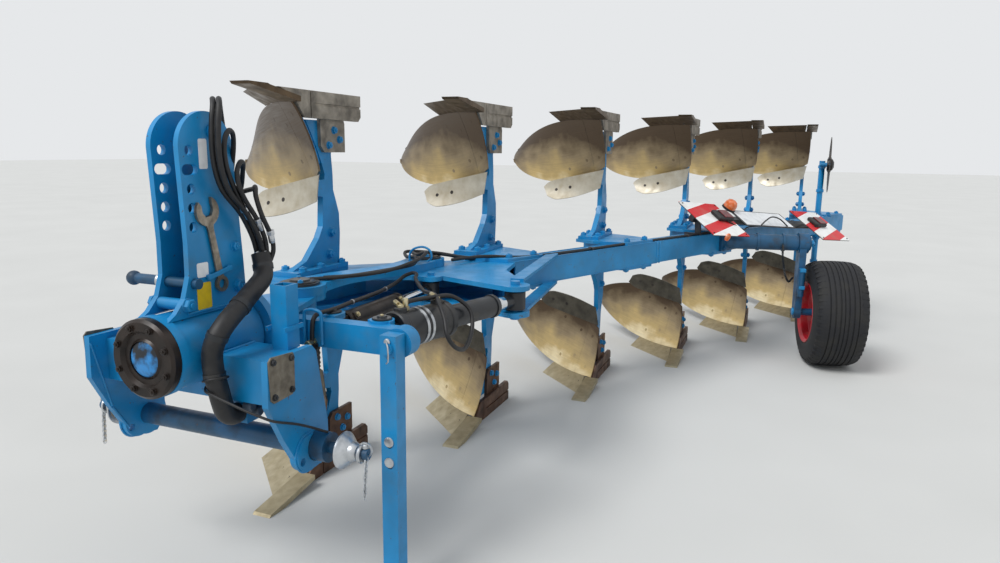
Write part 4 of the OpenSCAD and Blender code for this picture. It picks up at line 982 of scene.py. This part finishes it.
    def headstock_fittings(self):
        """Ferrules and clamps of the tower's hoses, the caps of the spare couplings and the turnover valve."""
        unions, clamps, caps, valve = Form(), Form(), Form(), Form()
        for a, b in ((Vector(route[-3]), Vector(route[-2])) for route in self.TOWER_HOSES.values()):
            self.ferrule(unions, (a + b) / 2, a - b, 8)
        for y in (-12, 12):
            self.ferrule(unions, (-60, y, 790), (0, 0, -1), 9)
            self.ferrule(unions, (-88, y + 110, 600), (0, 0, -1), 9)
        unions.bolts([(-96, -12, 744.8), (-34, -12, 744.8), (-96, 12, 744.8)], (0, 0, 1), 13, washer=False)
        for at, way in self.SLEEVE_CLAMPS:
            clamps.band(9, 33.5, 30.5, aim(at, way))
        for at in ((124, 204, 150), (90, 204, 124)):
            caps.lathe([(0, 15), (4, 17), (26, 17), (30, 13)], aim(at, (0, 1, 0)), 20)
        valve.block((-108, -24, 716), (-24, 24, 722))
        valve.lathe([(0, 16), (20, 16), (24, 12), (46, 12), (50, 8)], aim((-112, 0, 728), (-1, 0, 0)), 16)
        valve.lathe([(0, 43), (10, 45), (34, 45), (40, 40)], shift(32, 0, 712), 32)
        valve.lathe([(0, 41), (4, 43), (26, 43), (30, 40)], shift(32, 0, 470), 32)
        unions.finish("hose_unions", "headstock", "zinc")
        clamps.finish("sleeve_clamps", "headstock", "dark_steel")
        caps.finish("coupling_caps", "headstock", "cap_plastic")
        valve.finish("turnover_valve_details", "headstock", "dark_steel")


class PLOUGH_OT_cylinder_details(Operator):
    """Add gland nuts, steel bands, ports and fittings to the two cylinders of the swing gear"""
    bl_idname = "plough.cylinder_details"
    bl_label = "Cylinder fittings"

    # Places along each barrel of its ports, and how far the width cylinder's are turned to the low side
    SWING_PORTS, WIDTH_PORTS, PORT_TURN = (86, 268), (96, 404), 55
    # Eye of each barrel, the half height of its lug and the radius of its pin
    EYES = [(SWING_FRONT, 54.2, 22), (WIDTH_FRONT, 50.2, 18)]

    def execute(self, context):
        swing = cylinder_place(SWING_FRONT, SWING_REAR)
        width = cylinder_place(WIDTH_FRONT, WIDTH_REAR)
        low_side, out = width @ turn("X", self.PORT_TURN), turn("Y", 90)
        caps, bands, fittings, ends, ports, lugs = Form(), Form(), Form(), Form(), Form(), Form()
        caps.lathe([(0, 64), (6, 69), (26, 69), (30, 66)], swing @ shift(50, 0) @ out, 40)
        caps.lathe([(0, 66), (4, 69), (22, 69), (28, 50)], swing @ shift(288, 0) @ out, 40)
        caps.ring([(0, 47), (16, 47), (22, 44), (22, 30), (0, 30)], swing @ shift(580, 0) @ out, 36)
        for s in (160, 186):
            bands.band(6, 67.5, 65.2, swing @ shift(s, 0) @ out, 48)
            bands.block((s - 8, 58, -12), (s + 8, 74, 12), swing)
        for s in self.SWING_PORTS:
            caps.block((s - 18, -18, 58), (s + 18, 18, 80), swing, 4)
            fittings.bolt((s, 0, 80), (0, 0, 1), 15, swing, washer=False)
            fittings.lathe([(0, 9), (26, 9), (30, 7)], swing @ aim((s, 8, 88), (0.3, 1, 0.2)), 14)
        fittings.lathe([(0, 5), (8, 5), (10, 7), (14, 7), (17, 3)], swing @ shift(0, 0, 54), 12)
        ends.ring([(0, 41), (14, 41), (18, 38), (18, 24), (0, 24)], width @ shift(424, 0) @ out, 36)
        ends.lathe([(0, 37), (5, 41), (20, 41), (24, 38.5)], width @ shift(60, 0) @ out, 36)
        for s in self.WIDTH_PORTS:
            ends.block((s - 14, -14, 34), (s + 14, 14, 45), low_side, 3)
            ports.bolt((s, 0, 45), (0, 0, 1), 12, low_side, washer=False)
        for eye, height, r in self.EYES:
            for side in SIDES:
                lugs.lathe([(0, r + 12), (4, r + 12), (6, r + 9), (6, r - 4), (12, r - 6)],
                           shift(*eye, AXIS_Z + side * height) @ flip(side), 28)
        caps.finish("swing_cylinder_caps", "swing_barrel", "dark_steel")
        bands.finish("swing_cylinder_bands", "swing_barrel", "zinc")
        fittings.finish("swing_cylinder_fittings", "swing_barrel", "brass")
        ends.finish("width_cylinder_caps", "width_barrel", "grease")
        ports.finish("width_cylinder_fittings", "width_barrel", "brass")
        lugs.finish("cylinder_pin_caps", "turn_frame", "dark_steel")
        return {"FINISHED"}


class PLOUGH_OT_wheel_details(Operator):
    """Put a grooved tyre round the rim and add hub, nuts, valve, axle nut and the bracket's chain and clamps"""
    bl_idname = "plough.wheel_details"
    bl_label = "Wheel fittings"

    # The tyre's half section from bead to shoulder, as distances from the middle and radii, and one shoulder lug
    FLANK = [
        (144, 197), (158, 210), (168, 222), (170, 250), (169, 276), (162, 318), (150, 338), (132, 352), (112, 358),
        (96, 361), (93, 361),
    ]
    LUG = [(340, 156), (351, 137), (360.5, 108), (352, 104), (330, 140), (322, 160)]
    AXLE = (190, -485)
    NUT_CIRCLE = 85
    CHAIN = [(58, -170, -10), (66, -168, -90), (80, -150, -200), (70, -120, -260), (50, -90, -240)]

    def tyre_section(self, depth):
        """The tyre's outline from one bead to the other, its grooves cut to this depth."""
        half = self.FLANK + [(92, 361 - depth), (86, 361 - depth), (85, 362.5), (62, 364), (60, 364 - depth),
                             (54, 364 - depth), (52, 364), (30, 365), (28, 365 - depth), (22, 365 - depth), (20, 365),
                             (3, 365), (2, 365 - depth)]
        return [(-z, r) for z, r in half] + half[::-1]

    def execute(self, context):
        centre = WHEEL @ shift(0, *self.AXLE) @ turn("X", -90)
        tyre, nuts, hub, bracket, chain, arm = Form(), Form(), Form(), Form(), Form(), Form()
        tyre.ring(self.tyre_section(sizes().groove * 1000), centre, 96)
        count = sizes().lugs
        for i in range(count):
            for side in SIDES:
                at = centre @ turn("Z", 360 * (i + 0.25 * side) / count)
                tyre.prism([(r, side * z) for r, z in self.LUG], -9, 9, at @ turn("X", 90))
        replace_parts(tyre.finish("grooved_tyre", "wheel", "tyre", 40), "tyre")
        for x, y in circle(self.NUT_CIRCLE, 8):
            nuts.bolt((x, y, -32), (0, 0, 1), 14, centre)
            nuts.bolt((x, y, -49), (0, 0, -1), 14, centre)
        hub.lathe([(40, 68), (44, 66), (48, 60), (50, 34), (72, 32), (76, 28)], centre, 36)
        hub.lathe([(0, 5), (44, 5), (48, 6.5), (60, 6.5), (62, 4)], centre @ shift(168, 0, 20) @ turn("Y", -14), 12)
        bracket.bolts([(k, -85.2, z) for k in (3370, 3570) for z in (-42, 42)], (0, -1, 0), 20, BEAM)
        for y in (-160, -330):
            bracket.band(8, 62, 55, WHEEL @ shift(0, y) @ turn("X", 90), 36)
        chain.chain(self.CHAIN, 9, 2, 11, 1.2, WHEEL)
        arm.bolt((0, 18.3, 0), (0, 1, 0), 30, WHEEL)
        arm.lathe([(0, 26), (8, 26), (10, 22)], WHEEL @ aim((0, -56, -485), (0, -1, 0)), 28)
        for z in (-180, -300):
            arm.block((40, -50, z - 12), (96, -12.2, z + 12), WHEEL, 3)
        nuts.finish("wheel_nuts", "wheel", "zinc")
        hub.finish("wheel_hub_cap", "wheel", "dark_steel")
        bracket.finish("wheel_bracket_clamps", "beam", "greasy_blue")
        chain.finish("stop_chain", "beam", "dark_steel")
        arm.finish("wheel_arm_details", "wheel_arm", "blue_paint")
        return {"FINISHED"}


class PLOUGH_OT_light_details(Operator):
    """Fit the lamps, dome, blank plate, cable and frames of the light bar"""
    bl_idname = "plough.light_details"
    bl_label = "Light bar fittings"

    # Near edge of each warning board along the bar and the middle of its lamp
    BOARDS = [(0, 300), (1380, 1550)]
    CABLES = [
        [(300, -214, 16), (380, -250, 0), (480, -262, -20), (640, -190, -44), (900, -160, -48), (1200, -168, -46),
         (1420, -200, -10), (1500, -218, 16)],
        [(700, -232, 8), (760, -210, 34), (860, -180, 48), (960, -190, 40), (1040, -232, 10)],
    ]

    def execute(self, context):
        cases, lenses, amber, frames, plate = Form(), Form(), Form(), Form(), Form()
        for x, lamp in self.BOARDS:
            cases.block((lamp - 78, -214, 4), (lamp + 78, -112, 34), LIGHTS, 8)
            lenses.block((lamp - 26, -206, 33.6), (lamp + 70, -120, 41), LIGHTS, 5)
            rim = [(x + 4, -4, -3), (x + 396, -4, -3), (x + 396, -366, -3), (x + 4, -366, -3)]
            frames.tube(rim + rim[:1], 4, LIGHTS, 8, False)
            frames.bolts([(x + bx, by, 4) for bx, by in ((20, -20), (380, -20), (20, -350), (380, -350))],
                         (0, 0, 1), 6, LIGHTS)
        plate.block((530, -232, 4.2), (1130, -70, 6.5), LIGHTS, 1)
        amber.lathe([(0, 46), (8, 46), (30, 44), (50, 34), (58, 18), (60, 4)], LIGHTS @ shift(520, -40, 14), 32)
        amber.lathe([(0, 27), (8, 26), (13, 18), (14, 4)], LIGHTS @ aim((150, -372, -8), (0, -1, 0.2)), 28)
        cases.lathe([(0, 50), (12, 50), (15, 46)], LIGHTS @ shift(520, -40), 32)
        for route in self.CABLES:
            cases.tube(route, 5, LIGHTS)
        cases.finish("lamp_cases_and_cable", "beam", "hose_rubber")
        lenses.finish("rear_lamp_lenses", "beam", "lamp_red")
        amber.finish("amber_lamps", "beam", "lamp_amber")
        frames.finish("warning_board_frames", "beam", "dark_steel")
        plate.finish("blank_number_plate", "beam", "sticker_white")
        return {"FINISHED"}


class PLOUGH_OT_coulter_and_stand(Operator):
    """Add hubs and bolts to the disc coulters and clamps to their post, and pins, a clip and weld beads to the stand
    """
    bl_idname = "plough.coulter_and_stand"
    bl_label = "Coulters and stand"

    # Middle of the discs and their height from the turnover axis, half a disc's thickness, and the post on the beam
    DISC, DISC_RISE, DISC_FACE = (-4800.3, 1984.9), 520, 2.6
    POST = (5031, -44)
    # Middle of the stand leg, half its width with the bead, the height of its foot, and the way of its pin's clip
    LEG_X, LEG_Y, LEG_HALF, FOOT_Z = -118, 585, 30, -516
    CLIP = [(-80, 585, 342), (-70, 596, 330), (-66, 600, 290), (-72, 590, 276)]

    def execute(self, context):
        for side, body in ((1, "coulter_upper"), (-1, "coulter_lower")):
            hub = Form()
            at = shift(*self.DISC, AXIS_Z + side * self.DISC_RISE) @ turn("X", -90)
            hub.lathe([(18, 46), (24, 44), (30, 30), (34, 26)], at, 32)
            for way in SIDES:
                hub.bolts([(x, y, way * self.DISC_FACE) for x, y in circle(62, 6)], (0, 0, way), 10, at)
            hub.finish(body + "_hub", body, "dark_steel")
        clamps, stand = Form(), Form()
        post = BEAM @ Vector((*self.POST, 0))
        for side in SIDES:
            for z in (AXIS_Z + side * rise for rise in (100, 300, 500)):
                clamps.band(12, 30, 23.2, shift(post.x, post.y, z), 28)
                clamps.bolt((post.x + 29, post.y, z), (1, 0, 0), 12)
            clamps.bolts([(self.POST[0] + x, self.POST[1] + y, side * 83.2) for x in (-50, 50) for y in (-42, 42)],
                         (0, 0, side), 16, BEAM)
        clamps.finish("coulter_clamps", "beam", "blue_paint")
        for z in (0, -70):
            stand.lathe([(0, 17), (3, 17), (5, 13)], aim((-88.8, self.LEG_Y, z + 10), (1, 0, 0)), 20)
        stand.lathe([(0, 11), (76, 11), (80, 8)], aim((-160, self.LEG_Y, AXIS_Z + 22), (1, 0, 0)), 16)
        stand.tube(self.CLIP, 2.6)
        for x, y in circle(self.LEG_HALF * math.sqrt(2), 4, 225):
            a, b = ((self.LEG_X + u, self.LEG_Y + v, self.FOOT_Z) for u, v in ((x, y), (-y, x)))
            stand.bead(a, b, 8)
        stand.finish("stand_fittings", "stand", "zinc")
        return {"FINISHED"}


class PLOUGH_OT_stage(Operator):
    """Make the floor, the light and the camera"""
    bl_idname = "plough.stage"
    bl_label = "Stage"

    # The photo's camera: its place in metres, pitch in degrees, roll in radians, focal length as a share of the
    # picture's width, the width of its sensor, and the level way that it looks
    EYE, PITCH, ROLL, FOCAL = (1.812, 1.721, 0.939), 10.4, 0.012, 0.7238
    SENSOR_MM = 36
    LEVEL = (-0.9285, -0.3713, 0)

    def execute(self, context):
        self.floor()
        self.light()
        self.camera()
        bpy.context.scene.view_settings.view_transform = "Standard"
        return {"FINISHED"}

    def floor(self):
        size, z = 60, GROUND_Z / 1000
        mesh = bpy.data.meshes.new("studio_floor")
        mesh.from_pydata([(-size, -size, z), (size, -size, z), (size, size, z), (-size, size, z)], [], [(0, 1, 2, 3)])
        floor = bpy.data.objects.new("studio_floor", mesh)
        bpy.context.collection.objects.link(floor)
        # Matt painted floor: even and pale, with a faint cloud so that it isn't flat
        node, spot, close = new_material("pale_studio_floor")
        cloud = node("TexNoise", {"Vector": spot, "Scale": mm(900), "Detail": 2})
        tone = node("ValToRGB", {0: cloud}, [(0.3, colours().floor), (0.7, colours().floor_shade)])
        mesh.materials.append(close(tone, 0.9))

    def light(self):
        """A soft overcast sky, a brighter even backdrop where it is seen or reflected, and a low wide sun."""
        world = bpy.data.worlds.new("studio_world")
        bpy.context.scene.world = world
        world.use_nodes = True
        world.node_tree.nodes.clear()
        node = partial(add_node, world.node_tree)
        seen = node("LightPath").outputs
        direct = node("Math", {0: seen["Is Camera Ray"], 1: seen["Is Glossy Ray"]}, operation="MAXIMUM")
        through = node("Math", {0: direct, 1: seen["Is Transmission Ray"]}, operation="MAXIMUM")
        soft = node("Background", {"Color": (0.93, 0.96, 1.0, 1), "Strength": 0.7})
        backdrop = node("Background", {"Color": "#E6E8EA", "Strength": 1.0})
        node("OutputWorld", {"Surface": node("MixShader", {"Fac": through, 1: soft, 2: backdrop})})
        sun = bpy.data.lights.new("overcast_key", "SUN")
        sun.energy = 2.0
        sun.angle = math.radians(25)
        lamp = bpy.data.objects.new("overcast_key", sun)
        lamp.rotation_euler = (math.radians(38), 0, math.radians(60))
        bpy.context.collection.objects.link(lamp)

    def camera(self):
        level, up = Vector(self.LEVEL).normalized(), Vector((0, 0, 1))
        right = level.cross(up)
        pitch = math.radians(self.PITCH)
        ahead = level * math.cos(pitch) - up * math.sin(pitch)
        up = right.cross(ahead)
        turned_right = right * math.cos(self.ROLL) + up * math.sin(self.ROLL)
        turned_up = up * math.cos(self.ROLL) - right * math.sin(self.ROLL)
        camera = bpy.data.cameras.new("photo_camera")
        camera.lens = self.FOCAL * self.SENSOR_MM
        camera.sensor_width = self.SENSOR_MM
        holder = bpy.data.objects.new("photo_camera", camera)
        rows = Matrix((turned_right, turned_up, -ahead)).transposed().to_4x4()
        holder.matrix_world = Matrix.Translation(self.EYE) @ rows
        bpy.context.collection.objects.link(holder)
        bpy.context.scene.camera = holder


STEPS = (
    PLOUGH_OT_finishes, PLOUGH_OT_boards, PLOUGH_OT_body_bolts, PLOUGH_OT_beam_details, PLOUGH_OT_tower_details,
    PLOUGH_OT_headstock_details, PLOUGH_OT_hose_fittings, PLOUGH_OT_cylinder_details, PLOUGH_OT_wheel_details,
    PLOUGH_OT_light_details, PLOUGH_OT_coulter_and_stand, PLOUGH_OT_stage,
)


class PLOUGH_PT_sidebar(Panel):
    """Lists the plough's steps and settings"""
    bl_idname = "PLOUGH_PT_sidebar"
    bl_label = "Reversible plough"
    bl_space_type = "VIEW_3D"
    bl_region_type = "UI"
    bl_category = "Plough"

    def draw(self, context):
        for group in (context.scene.plough_colours, context.scene.plough_sizes):
            box = self.layout.box()
            for name in group.bl_rna.properties.keys():
                if name not in ("rna_type", "name"):
                    box.prop(group, name)
        for step in STEPS:
            self.layout.operator(step.bl_idname)


CLASSES = (PLOUGH_PG_colours, PLOUGH_PG_sizes) + STEPS + (PLOUGH_PT_sidebar,)


def register():
    for item in CLASSES:
        bpy.utils.register_class(item)
    bpy.types.Scene.plough_colours = PointerProperty(type=PLOUGH_PG_colours)
    bpy.types.Scene.plough_sizes = PointerProperty(type=PLOUGH_PG_sizes)


def unregister():
    del bpy.types.Scene.plough_sizes
    del bpy.types.Scene.plough_colours
    for item in reversed(CLASSES):
        bpy.utils.unregister_class(item)


def main():
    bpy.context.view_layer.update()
    register()
    bpy.ops.plough.finishes()
    bpy.ops.plough.boards()
    bpy.ops.plough.body_bolts()
    bpy.ops.plough.beam_details()
    bpy.ops.plough.tower_details()
    bpy.ops.plough.headstock_details()
    bpy.ops.plough.hose_fittings()
    bpy.ops.plough.cylinder_details()
    bpy.ops.plough.wheel_details()
    bpy.ops.plough.light_details()
    bpy.ops.plough.coulter_and_stand()
    bpy.ops.plough.stage()


if __name__ == "__main__":
    main()
